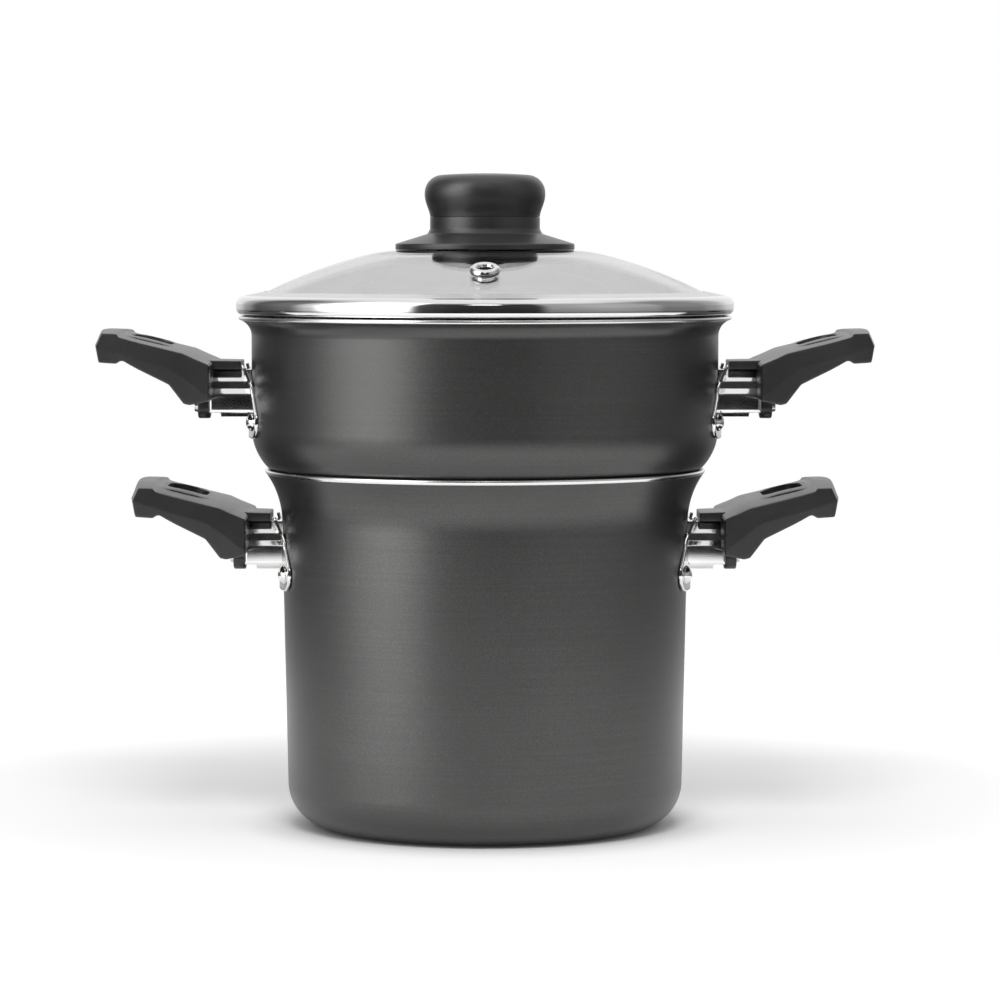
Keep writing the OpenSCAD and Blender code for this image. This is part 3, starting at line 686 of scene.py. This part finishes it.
def knob_grip_profile():
    """Outline of the grip: its screw hole and stem, a belly that widens from the neck along cosine
    shares, a round edge, and a nearly flat crown."""
    foot = [[0, BORE_TOP], [BORE_R, BORE_TOP], [BORE_R, SOCKET_TOP], [SOCKET_R, SOCKET_TOP],
            [SOCKET_R, STEM_END], [STEM_R, STEM_END], [STEM_R, BED], [NECK_R - 0.2, BED],
            [NECK_R - 0.05, BED + 0.05]]
    t = np.linspace(0, 1, 18)[1:, None]
    belly_start, belly_end = 0.3, GRIP_H - GRIP_EDGE_H
    belly_z = belly_start + t * (belly_end - belly_start)
    widened = 0.5 - 0.5 * np.cos(np.pi * np.minimum(t * 1.05, 1) ** 0.85)
    belly_r = NECK_R + (GRIP_R - NECK_R) * widened
    edge = arc((GRIP_R - GRIP_EDGE_R, belly_end), GRIP_EDGE_R, 0, 84, 16)
    crown_r = np.linspace(edge[-1, 0], 0, 10)[1:, None]
    crown_z = GRIP_H - (GRIP_H - edge[-1, 1]) * (crown_r / edge[-1, 0]) ** 2
    return np.concatenate([foot, np.hstack([belly_r, belly_z]), edge[1:],
                           np.hstack([crown_r, crown_z])]) + [0, grip_z]


for name, outline, wraps, node in (
    ("knob_foot", knob_base_profile(), RING, "knob_base"),
    ("knob_bulb", knob_grip_profile(), SPUN, "knob_grip"),
):
    piece = make(name, [(turned(outline, 160), wraps)], [BAKELITE])
    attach(piece, "lid")
    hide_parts(node)

# -------- rivets
BRACKET_T = 1.5
RIVET_Y, HEAD_R, HEAD_H, SHANK_R = 25, 4.6, 2.9, 2.5
# Root edge of each handle as (x, z): a gap off the wall, and a drop below the rim
POT_GAP, POT_DROP, PAN_GAP, PAN_DROP = 15.8, 22.8, 18.3, 23.4
pot_root = (POT_R + POT_GAP, pot_top - POT_DROP)
pan_root = (PAN_R + PAN_GAP, pan_rim - PAN_DROP)
# Height at which the pot's wall gives the radius of its plates as the rivets take it
POT_PLATE_Z = 143.2


def rivet_profile(inner, outer):
    """Outline of a rivet along its axis: a low inner head, a shank, and a round outer head whose
    ball has the radius (r r + h h) / 2h."""
    ball = (HEAD_R * HEAD_R + HEAD_H * HEAD_H) / (2 * HEAD_H)
    rise = math.degrees(math.asin((ball - HEAD_H) / ball))
    return np.concatenate([
        [[0, inner - 1.0], [2.2, inner - 0.95], [3.9, inner - 0.6], [4.5, inner - 0.15],
         [4.4, inner], [SHANK_R, inner], [SHANK_R, outer]],
        arc((0, outer + HEAD_H - ball), ball, rise, 90, 12),
    ])


def rivet_set(z, plate_r, inside_r):
    """Four rivets at one height, each pointing out of the wall. An inner head lies on the flat at
    sqrt(R^2 - r^2) inside a wall of radius R."""
    inner = math.sqrt(inside_r ** 2 - HEAD_R ** 2) - BED
    grid = turned(rivet_profile(inner, plate_r + BRACKET_T + BED), 40)
    lean = math.asin(RIVET_Y / plate_r)
    up = np.array([0, 0, 1.0])
    parts = []
    for a in (lean, -lean, math.pi + lean, math.pi - lean):
        out = np.array([math.cos(a), math.sin(a), 0])
        spun = grid[..., 2:] * out + grid[..., :1] * np.cross(up, out) + (grid[..., 1:2] + z) * up
        parts.append((spun, SPUN))
    return parts


pot_rivet_z, pan_rivet_z = ((low(n)[2] + high(n)[2]) / 2 for n in ("pot_rivets", "pan_rivets"))
for node, body, rivet_z, plate_r, inside_r in (
    ("pot_rivets", "pot", pot_rivet_z, pot_wall_r(POT_PLATE_Z),
     pot_wall_r(pot_rivet_z - HEAD_R) - SHEET_T),
    ("pan_rivets", "steamer_pan", pan_rivet_z, PAN_R, PAN_R - SHEET_T),
):
    heads = rivet_set(rivet_z, plate_r, inside_r)
    piece = make(node.replace("rivets", "rivet_heads"), heads, [STEEL])
    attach(piece, body)
    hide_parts(node)

# -------- handles
# A handle is drawn from its root edge outwards, as x along its reach and z above the edge
REACH, BULGE, TIP_H = 55.0, 3.5, 15.6
LENGTH = REACH + BULGE
# Half widths at the root and at the tip, and how far along the tip's bulge begins
ROOT_W, TIP_W, BULGE_FROM = 53.0, 50.5, 36
# Shares of their height by which the sides draw in, above and below the parting line
DRAFT_ABOVE, DRAFT_BELOW = 0.07, 0.09
TOP = np.array([(0, 0), (3.5, 1.63), (7, 3.25), (10, 4.65), (12.93, 6.0), (18, 7.22), (30, 10.09),
                (42.5, 13.09), (45.49, 13.81), (46.75, 15.37), (55.28, 15.6), (LENGTH, 9.2)])
MID = np.array([(0, -15.6), (3.5, -13.0), (7, -10.2), (10, -7.9), (13, -5.6), (18.5, -1.8),
                (30, 1.6), (42, 4.9), (45, 5.6), (47, 6.2), (56, 8.4), (LENGTH, 9.2)])
LOW = np.array([(0, -17.63), (4.7, -18.67), (9.35, -19.7), (12.38, -19.03), (16, -14.28),
                (19.53, -9.67), (30, -4.51), (42.79, 1.79), (44.55, 1.79), (47.03, 0.47),
                (56.92, 1.01), (LENGTH, 9.2)])
# The sloping part of the top face, and the underside below the slot as a height and a slope
SLOPE_START = np.array([0.235 * REACH, 0.385 * TIP_H])
SLOPE_END = np.array([0.827 * REACH, 0.885 * TIP_H])
UNDER_X, UNDER_Z, UNDER_SLOPE = 19.53, -9.67, 0.4926
SLOT_X, SLOT_D, SLOT_W, SLOT_CORNER_R = 0.565 * REACH, 20, 36, 8.4
PAD_D, PAD_W, PAD_CORNER_R = 24.4, 60, 5.5
# The opening that the slot's collar fills: how much wider it is, and its corner radius
OPENING_MORE, OPENING_CORNER_R = 2.6, 9.6
SLOPE = (SLOPE_END[1] - SLOPE_START[1]) / (SLOPE_END[0] - SLOPE_START[0])
PAD_Z = SLOPE_START[1] + (SLOT_X - SLOPE_START[0]) * SLOPE
GROOVE_Y, GROOVE_HALF, GROOVE_W, GROOVE_H = 28.7, 8.5, 1.5, 1.4
ARCH_H, ARCH_HALF = 0.8, 11.5
# The lug: where it starts and ends along x, its radius, its top and its screw's height and hole
TAB_START, TAB_END, TAB_R, TAB_TOP, SCREW_Z, SCREW_HOLE_R = 2.3, 8.6, 5.6, -14.5, -22.6, 1.9
NECK_REACH = 2.1
SHIELD_HALF_W, SHIELD_LOW, SHIELD_TOP, SHIELD_EDGE_R = 17.5, -3.25, 0.9, 0.5


def near_end(span, soft, crowd):
    """Shares of each span that lie 0, 1 and 2 soft lengths from its end, held short of its
    middle."""
    limit = 0.5 - crowd * np.array([2, 1, 0])
    return np.clip(np.arange(3) * soft / np.maximum(span, 1e-6)[:, None], 0, limit)[..., None]


def stations(chain):
    """A chain sampled at each of its corners and at one and two soft lengths on both sides."""
    a, b = chain[:-1], chain[1:]
    share = near_end(np.linalg.norm(b - a, axis=1), 0.45, 0.12)
    ahead = a[:, None] + (b - a)[:, None] * share
    behind = b[:, None] - (b - a)[:, None] * share[:, :0:-1]
    return np.concatenate([np.concatenate([ahead, behind], 1).reshape(-1, 2), chain[-1:]])


def handle_skin():
    """Grid of the moulded handle: along it, sections through three chains (the top face, the
    parting line and the underside); round it, each section's straight sides, drawn in by a share
    of their height above the parting line and by another below it. Corners are softened by
    averaging neighbours, and the tip bends back by its bulge times the square of the share of the
    half width."""
    top, mid, bottom = stations(TOP), stations(MID), stations(LOW)
    w = ROOT_W + (TIP_W - ROOT_W) * mid[:, :1] / LENGTH
    w_top = w - DRAFT_ABOVE * np.linalg.norm(top - mid, axis=1, keepdims=True)
    w_low = w - DRAFT_BELOW * np.linalg.norm(bottom - mid, axis=1, keepdims=True)
    upper, middle, lower = (np.hstack([chain[:, :1], half, chain[:, 1:]])
                            for chain, half in ((top, w_top), (mid, w), (bottom, w_low)))
    other = np.array([1, -1, 1])
    loop = [upper * other, upper, middle, lower, lower * other, middle * other]
    sides = []
    for start, end, inner in zip(loop, loop[1:] + loop[:1], (14, 3, 3, 14, 3, 3)):
        near = near_end(np.linalg.norm(end - start, axis=1), 0.4, 0.15)
        far = 1 - near[:, :0:-1]
        mids = np.linspace(near[:, 2], far[:, 0], inner + 2, axis=1)[:, 1:-1]
        sides.append(start[:, None] + (end - start)[:, None] * np.concatenate([near, mids, far], 1))
    grid = np.concatenate(sides, 1)
    for _ in range(2):
        grid = (np.roll(grid, 1, 1) + 2 * grid + np.roll(grid, -1, 1)) / 4
        grid[1:-1] = (grid[:-2] + 2 * grid[1:-1] + grid[2:]) / 4
    centre = grid[0].mean(0)
    inset = (grid[0] - centre) * [1, 0.985, 0.95]
    grid[0, :, 0] += 0.5
    root_face = centre + inset * np.array([0, 0.7, 1])[:, None, None]
    root_face[..., 0] = 0
    grid = np.concatenate([root_face, grid])
    bent = np.clip((grid[..., 0] - BULGE_FROM) / (LENGTH - BULGE_FROM), 0, 1)
    grid[..., 0] -= BULGE * (grid[..., 1] / TIP_W) ** 2 * bent
    return grid


def crowned(v, crown):
    """Lifts the handle's upper side into a shallow arch: by crown (1 - 1.35 (y / half width)^2),
    faded in over the 6 mm below the top face and over the 9 mm next to the root."""
    top = np.interp(v[:, 0], TOP[:-1, 0], TOP[:-1, 1])
    share = np.clip(1 - (top - v[:, 2]) / 6, 0, 1) * np.clip(v[:, 0] / 9, 0, 1) * (v[:, 0] > 0)
    lift = crown * (1 - 1.35 * (v[:, 1] / ROOT_W) ** 2) * share * share * (3 - 2 * share)
    return v + lift[:, None] * [0, 0, 1]


def slot_collar():
    """Grid round the finger slot: its section climbs from the floor of the groove to the raised
    pad, crosses it, turns down the slot's wall and out under the handle. Heights follow the
    sloping top face PAD_Z + SLOPE x, plus an arch across the middle, and the underside. Each ring
    is an outline, how far out of it the ring lies, its height, and its side: groove floor, top
    face or underside."""
    slot = oblong(SLOT_D, SLOT_W, SLOT_CORNER_R)
    pad = oblong(PAD_D, PAD_W, PAD_CORNER_R)
    out = (pad - slot) / np.linalg.norm(pad - slot, axis=1, keepdims=True)
    floor, face, under = -1, 0, 1
    rings = []
    for outline, outwards, lift, side in (
        (pad, 0, -GROOVE_H - 0.6, floor), (pad, 0, -0.25, face), (pad, -0.2, -0.05, face),
        (pad, -0.6, 0.05, face), (slot, 1.0, 0.05, face), (slot, 0.4, 0.0, face),
        (slot, 0.1, -0.2, face), (slot, 0, -0.7, face), (slot, 0, 0.8, under),
        (slot, 0.25, 0.1, under), (slot, 0.8, -0.3, under), (slot, 2.4, -0.3, under),
        (slot, 2.6, 1.5, under),
    ):
        ring = outline + outwards * out
        x = ring[:, 0] + SLOT_X
        base = UNDER_Z + UNDER_SLOPE * (x - UNDER_X) if side == under \
            else PAD_Z + SLOPE * ring[:, 0]
        if side == face:
            base = base + ARCH_H * np.maximum(1 - (ring[:, 0] / ARCH_HALF) ** 2, 0) ** 1.5
        rings.append(np.column_stack([x, ring[:, 1], base + lift]))
    return np.stack(rings, 1)


def lug():
    """Tongue that takes the screw: a U-shaped outline carried along X, with soft edges."""
    centre = np.array([0, -20])
    outline = np.concatenate([arc((0, SCREW_Z), TAB_R, 180, 360, 24),
                              [[TAB_R, TAB_TOP], [-TAB_R, TAB_TOP]]])
    first, last = TAB_START, TAB_END
    return np.stack([across_x(x, centre + (outline - centre) * share) for x, share in (
        (first, 0.0), (first, 0.88), (first + 0.2, 0.96), (first + 0.7, 1.0),
        (last - 0.7, 1.0), (last - 0.2, 0.96), (last, 0.88), (last, 0.0))])


def neck_outline(g):
    """Section of the bracket's neck as one closed outline, grown by a margin g: half widths of
    about 20 below its step and 17.4 above."""
    half = [(19.7 + g, -26.8 - g, 4 + g), (20.1 + g, -15.4 + g, 2.4), (17.5 + g, -12.7 + g, 1.2),
            (17.3 + g, -9.4 + 0.3 * g, 2.5), (13.0 + g, -3.4 + g, 3 + g)]
    corners = np.array(half + [(-y, z, radius) for y, z, radius in half[::-1]])
    return rounded(corners[:, :2], corners[:, 2], 8, closed=True)


def handle_parts(shield_reach):
    """Moulded body with its slot, its two grooves and its pocket cut, then the lug, the slot's
    collar and the shield. A groove's floor is a lens: a straight inner edge and a bowed outer
    one."""
    body = make("body", [(handle_skin(), TUBE)], [])
    x = np.linspace(-GROOVE_HALF, GROOVE_HALF, 15)
    flat = GROOVE_Y - BED + 0 * x
    bow = GROOVE_Y + (1.3 + GROOVE_W) * (1 - (x / GROOVE_HALF) ** 2)
    lens = np.concatenate([np.column_stack([x, flat]), np.column_stack([x, bow])[::-1]])
    for side in (1, -1):
        groove = prism(lens * [1, side], -GROOVE_H, 30)
        groove[..., 2] += PAD_Z + SLOPE * groove[..., 0]
        groove[..., 0] += SLOT_X
        cut(body, [(groove, TUBE)])
    opening = oblong(SLOT_D + OPENING_MORE, SLOT_W + OPENING_MORE, OPENING_CORNER_R) + [SLOT_X, 0]
    pocket = prism(neck_outline(BED), -20, NECK_REACH + BED)[..., [2, 0, 1]]
    cut(body, [(prism(opening, -60, 60), TUBE), (pocket, TUBE)])
    tongue = make("tongue", [(lug(), TUBE)], [])
    screw_hole = prism(arc((0, SCREW_Z), SCREW_HOLE_R, 0, 345, 23), -3, 12)
    cut(tongue, [(screw_hole[..., [2, 0, 1]], TUBE)])
    collar = make("collar", [(slot_collar(), RING)], [])
    box = soft_box((-shield_reach, -SHIELD_HALF_W, SHIELD_LOW),
                   (TAB_END, SHIELD_HALF_W, SHIELD_TOP), SHIELD_EDGE_R)
    shield = make("shield", [(poled(box), TUBE)], [])
    return [body, tongue, collar, shield]


for vessel, body, shield_reach, crown, (root_x, root_z) in (
    ("pot", "pot", 10.5, 1.6, pot_root),
    ("pan", "steamer_pan", 13.5, 1.0, pan_root),
):
    moulding = handle_parts(shield_reach)
    for hand, side in (("left", -1), ("right", 1)):
        piece = joined(f"{vessel}_grip_{hand}", moulding,
                       lambda v: (crowned(v, crown) + [root_x, 0, root_z]) * [side, side, 1],
                       BAKELITE)
        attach(piece, body)
        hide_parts(f"{vessel}_handle_{hand}")
    for piece in moulding:
        bpy.data.objects.remove(piece)

# -------- brackets
EAR_R, NECK_GAP, NECK_MID_Z = 8.3, 0.4, -15.1
NOTCH_LEN, NOTCH_TOP, NOTCH_EDGE_R = 6, -24.5, 0.8
# Below the root edge: the ears' middle, the bend, and where the plate begins to lean, by how much
EAR_DROP, BEND_DROP, LEAN_DROP, LEAN = 29.1, 13.6, 12.6, 0.36
# Outline of the plate beside and above the neck: distance from the middle, and drop from the root
TAB_Y = [0, 17.7, 18.2, 19.4, 20.2, 21.9, 24.5, 31.2]
TAB_DROP = [4.6, 4.6, 1.4, 0.9, 1.8, 9.5, 15.6, 23.6]


def neck_skin(start, end):
    """Grid of the pressed neck, a cup on its side: its section is carried out along X, rounds over
    the closed end, meets in the middle, and comes back inside by the sheet's thickness. Each ring
    is an x and a margin that the section grows by."""
    back = end - BRACKET_T
    outside = [(start, 0.0), (end - 1.6, 0.0), (end - 0.9, -0.2), (end - 0.35, -0.6), (end, -1.5)]
    inside = [(back, -BRACKET_T - 1.2), (back - 0.4, -BRACKET_T - 0.2), (back - 1.0, -BRACKET_T),
              (start, -BRACKET_T)]
    rings = [[across_x(x, neck_outline(grow)) for x, grow in side] for side in (outside, inside)]
    middle = np.broadcast_to([0, NECK_MID_Z], (len(rings[0][0]), 2))
    return np.stack(rings[0] + [across_x(end, middle), across_x(back, middle)] + rings[1])


def plate_skin(wall_r, root_z):
    """Grid of the riveted plate: for each y across it, its lower and upper edges z_low(y) and
    z_high(y) are the outlines of two round ears and the tab below the neck. A closed section runs
    up the outer face, over an eased edge and down the inner face, at x = sqrt(r(z)^2 - y^2), where
    r(z) leans out by LEAN times the height above the bend."""
    ear_end, ear_z = RIVET_Y + EAR_R, root_z - EAR_DROP
    ear_y = ear_end * np.sin(np.linspace(0.72, np.pi / 2, 22))
    half = np.concatenate([np.linspace(17.2, 21.8, 24), ear_y])
    y = np.concatenate([-half[::-1], np.linspace(-16.5, 16.5, 23), half])
    a = np.abs(y)
    ear = np.sqrt(np.maximum(EAR_R ** 2 - np.maximum(a - RIVET_Y, 0) ** 2, 0))
    low_z = ear_z - ear
    high_z = np.where(a > TAB_Y[-1], ear_z + ear, np.interp(a, TAB_Y, root_z - np.array(TAB_DROP)))
    ease = np.minimum(0.45, (high_z - low_z) / 2)
    face = low_z + ease + (high_z - low_z - 2 * ease) * np.linspace(0, 1, 30)[:, None]
    z = np.concatenate([
        face, [high_z - 0.3 * ease, high_z, high_z, high_z - 0.3 * ease],
        face[::-1], [low_z + 0.3 * ease, low_z, low_z, low_z + 0.3 * ease],
    ])
    rim = np.stack([BRACKET_T - 0.12 + 0 * ease, BRACKET_T - ease, ease, 0.12 + 0 * ease])
    off = np.concatenate([BRACKET_T + 0 * face, rim, 0 * face, rim[::-1]])
    lean = LEAN * np.maximum(z - (root_z - LEAN_DROP), 0)
    r = wall_r + BED + lean + off
    return np.stack([np.sqrt(r ** 2 - y ** 2), y + 0 * r, z], -1)


for vessel, body, plate_r, (root_x, root_z) in (
    ("pot", "pot", pot_wall_r(pot_root[1] - BEND_DROP), pot_root),
    ("pan", "steamer_pan", PAN_R, pan_root),
):
    neck_r, end_x = plate_r + NECK_GAP, root_x + NECK_REACH
    neck = neck_skin(neck_r, end_x) + [0, 0, root_z]
    neck[[0, -1], :, 0] = np.sqrt(neck_r ** 2 - neck[[0, -1], :, 1] ** 2)
    pressing = [make("neck", [(neck, RING)], []),
                make("plate", [(plate_skin(plate_r, root_z), SPUN)], [])]
    notch = soft_box((end_x - NOTCH_LEN, -40, root_z - 40),
                     (root_x + 9, 40, root_z + NOTCH_TOP), NOTCH_EDGE_R)
    cut(pressing[0], [(poled(notch), TUBE)])
    for hand, side in (("left", -1), ("right", 1)):
        piece = joined(f"{vessel}_pressing_{hand}", pressing, lambda v: v * [side, side, 1], STEEL)
        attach(piece, body)
        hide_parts(f"{vessel}_bracket_{hand}")
    for piece in pressing:
        bpy.data.objects.remove(piece)

# -------- floor, world and lamps
FLOOR_Z, FLOOR_RINGS, FLOOR_WHITE, FLOOR_GLOW = -0.3, (0, 0.5, 1.0, 1.5, 2.0), 0.8, 0.40
# Distances from the middle, in metres, over which the glow grows twice and the floor thins out: the
# first, near the base, leaves a painted contact shadow
PAINTED_SHADOW_SPAN, GLOW_FAR, THINS = (0.07, 0.13), (0.15, 0.70), (0.45, 1.0)


def floor_finish():
    """Pale floor: its own diffuse white takes the shadow, and camera, glossy and transmission rays
    also get a glow that brings it up to the white background. The glow grows in two steps away
    from the base: round the base it is held back, which leaves a painted contact shadow on the
    floor and in its reflections. Further out the floor thins to nothing, so that no edge shows."""
    material = bpy.data.materials.new("studio_floor")
    net = Net(material)
    net.nodes.clear()
    far = net.length(net.node("TexCoord").outputs["Object"])

    def between(start, end, low_out, high_out):
        return net.span(far, low_out, high_out, start, end, interpolation_type="SMOOTHSTEP")

    path = net.node("LightPath").outputs
    seen = net.math("MAXIMUM", net.math("MAXIMUM", path["Is Camera Ray"], path["Is Glossy Ray"]),
                    path["Is Transmission Ray"])
    # the first step is a painted contact shadow: no glow right round the base
    level = net.math("ADD", between(*PAINTED_SHADOW_SPAN, 0, FLOOR_GLOW), between(*GLOW_FAR, 0, FLOOR_GLOW))
    glow = net.node("Emission", {"Strength": net.math("MULTIPLY", level, seen)})
    cloth = net.node("BsdfDiffuse", {"Color": (FLOOR_WHITE, FLOOR_WHITE, FLOOR_WHITE, 1)})
    both = net.node("AddShader", {0: cloth.outputs[0], 1: glow.outputs[0]})
    thin = net.node("MixShader", {0: between(*THINS, 0, 1), 1: both.outputs[0],
                                  2: net.node("BsdfTransparent").outputs[0]})
    net.node("OutputMaterial", {"Surface": thin.outputs[0]})
    return material


rings = np.array(FLOOR_RINGS) / MM
disc = turned(np.column_stack([rings, np.full(len(rings), FLOOR_Z)]), 64)
floor = make("floor", [(disc[:, ::-1], SPUN)], [floor_finish()])

# Brightness of the studio by compass direction: 0 is the front, -90 the left and 90 the right
COMPASS = (
    (-180, 1.0), (-156, 0.9), (-142, 0.42), (-129, 0.12), (-102, 0.20), (-88, 0.85), (-74, 3.3),
    (-56, 4.4), (-38, 3.0), (-31, 0.07), (-10, 0.035), (24, 0.04), (31, 0.40), (60, 0.50),
    (84, 0.42), (92, 0.26), (116, 0.28), (130, 0.42), (154, 0.9), (180, 1.0),
)
# What is left of it below the horizon, and where, going up, it is full and then turns white
BELOW, HORIZON, OVERHEAD = 0.35, (-0.12, 0.04), (0.70, 0.90)
DIFFUSE_WORLD = 0.15


def studio():
    """World: an even light for diffuse rays and white for camera and transmission rays. Glossy
    rays see the studio by compass direction: a white backdrop behind the object, a dark side on
    the left, a bright window at the front left, a dark room in front, and grey boards on the
    right. It is darker below the horizon, and overhead it goes over into white."""
    world = bpy.data.worlds.new("studio")
    scene.world = world
    net = Net(world)
    backdrop = net.nodes["Background"]
    direction = net.node("TexCoord").outputs["Generated"]
    way = net.node("SeparateXYZ", {0: direction}).outputs
    turn = net.math("ARCTAN2", way["X"], net.math("MULTIPLY", way["Y"], -1.0))
    share = net.math("MULTIPLY_ADD", turn, 1 / (2 * math.pi), 0.5)
    stops = [((angle + 180) / 360, (level, level, level, 1)) for angle, level in COMPASS]
    around = net.math("MULTIPLY", net.ramp(share, stops, "EASE"),
                      net.span(way["Z"], BELOW, 1.0, *HORIZON))
    sky = net.math("MULTIPLY_ADD", net.span(way["Z"], 0.0, 1.0, *OVERHEAD),
                   net.math("SUBTRACT", 1.0, around), around)
    path = net.node("LightPath").outputs
    clear = net.math("MAXIMUM", path["Is Camera Ray"], path["Is Transmission Ray"])
    level = net.math("MULTIPLY_ADD", path["Is Glossy Ray"],
                     net.math("SUBTRACT", sky, DIFFUSE_WORLD), DIFFUSE_WORLD)
    net.links.new(net.math("MAXIMUM", clear, level), backdrop.inputs["Strength"])
    backdrop.inputs["Color"].default_value = (1, 1, 1, 1)


studio()

# Soft boxes: place, aim, size, radiance, and whether gloss shows them. One of radiance L and area
# A gives pi A L watts.
LAMPS = {
    "key": ((0.0, -1.75, 1.90), (0, 0, 0.1), (0.9, 0.7), 14.0, False),
    "fill_left": ((-1.08, -1.29, 1.51), (0, 0, 0.1), (1.0, 1.0), 1.9, False),
    "fill_right": ((1.08, -1.29, 1.51), (0, 0, 0.1), (1.0, 1.0), 1.9, False),
    "top": ((0.0, 0.1, 2.2), (0, 0, 0.2), (1.6, 1.2), 1.1, False),
    "front": ((0.0, -1.9, 1.7), (0, 0, 0.1), (0.5, 0.5), 2.0, True),
}
for name, (place, aim, (width, depth), radiance, mirrored) in LAMPS.items():
    data = bpy.data.lights.new(name, "AREA")
    data.shape = "RECTANGLE"
    data.size, data.size_y = width, depth
    data.energy = math.pi * width * depth * radiance
    lamp = bpy.data.objects.new(name, data)
    scene.collection.objects.link(lamp)
    lamp.location = place
    lamp.rotation_euler = (Vector(aim) - Vector(place)).to_track_quat("-Z", "Y").to_euler()
    lamp.visible_glossy = mirrored

scene.view_settings.view_transform = "Standard"
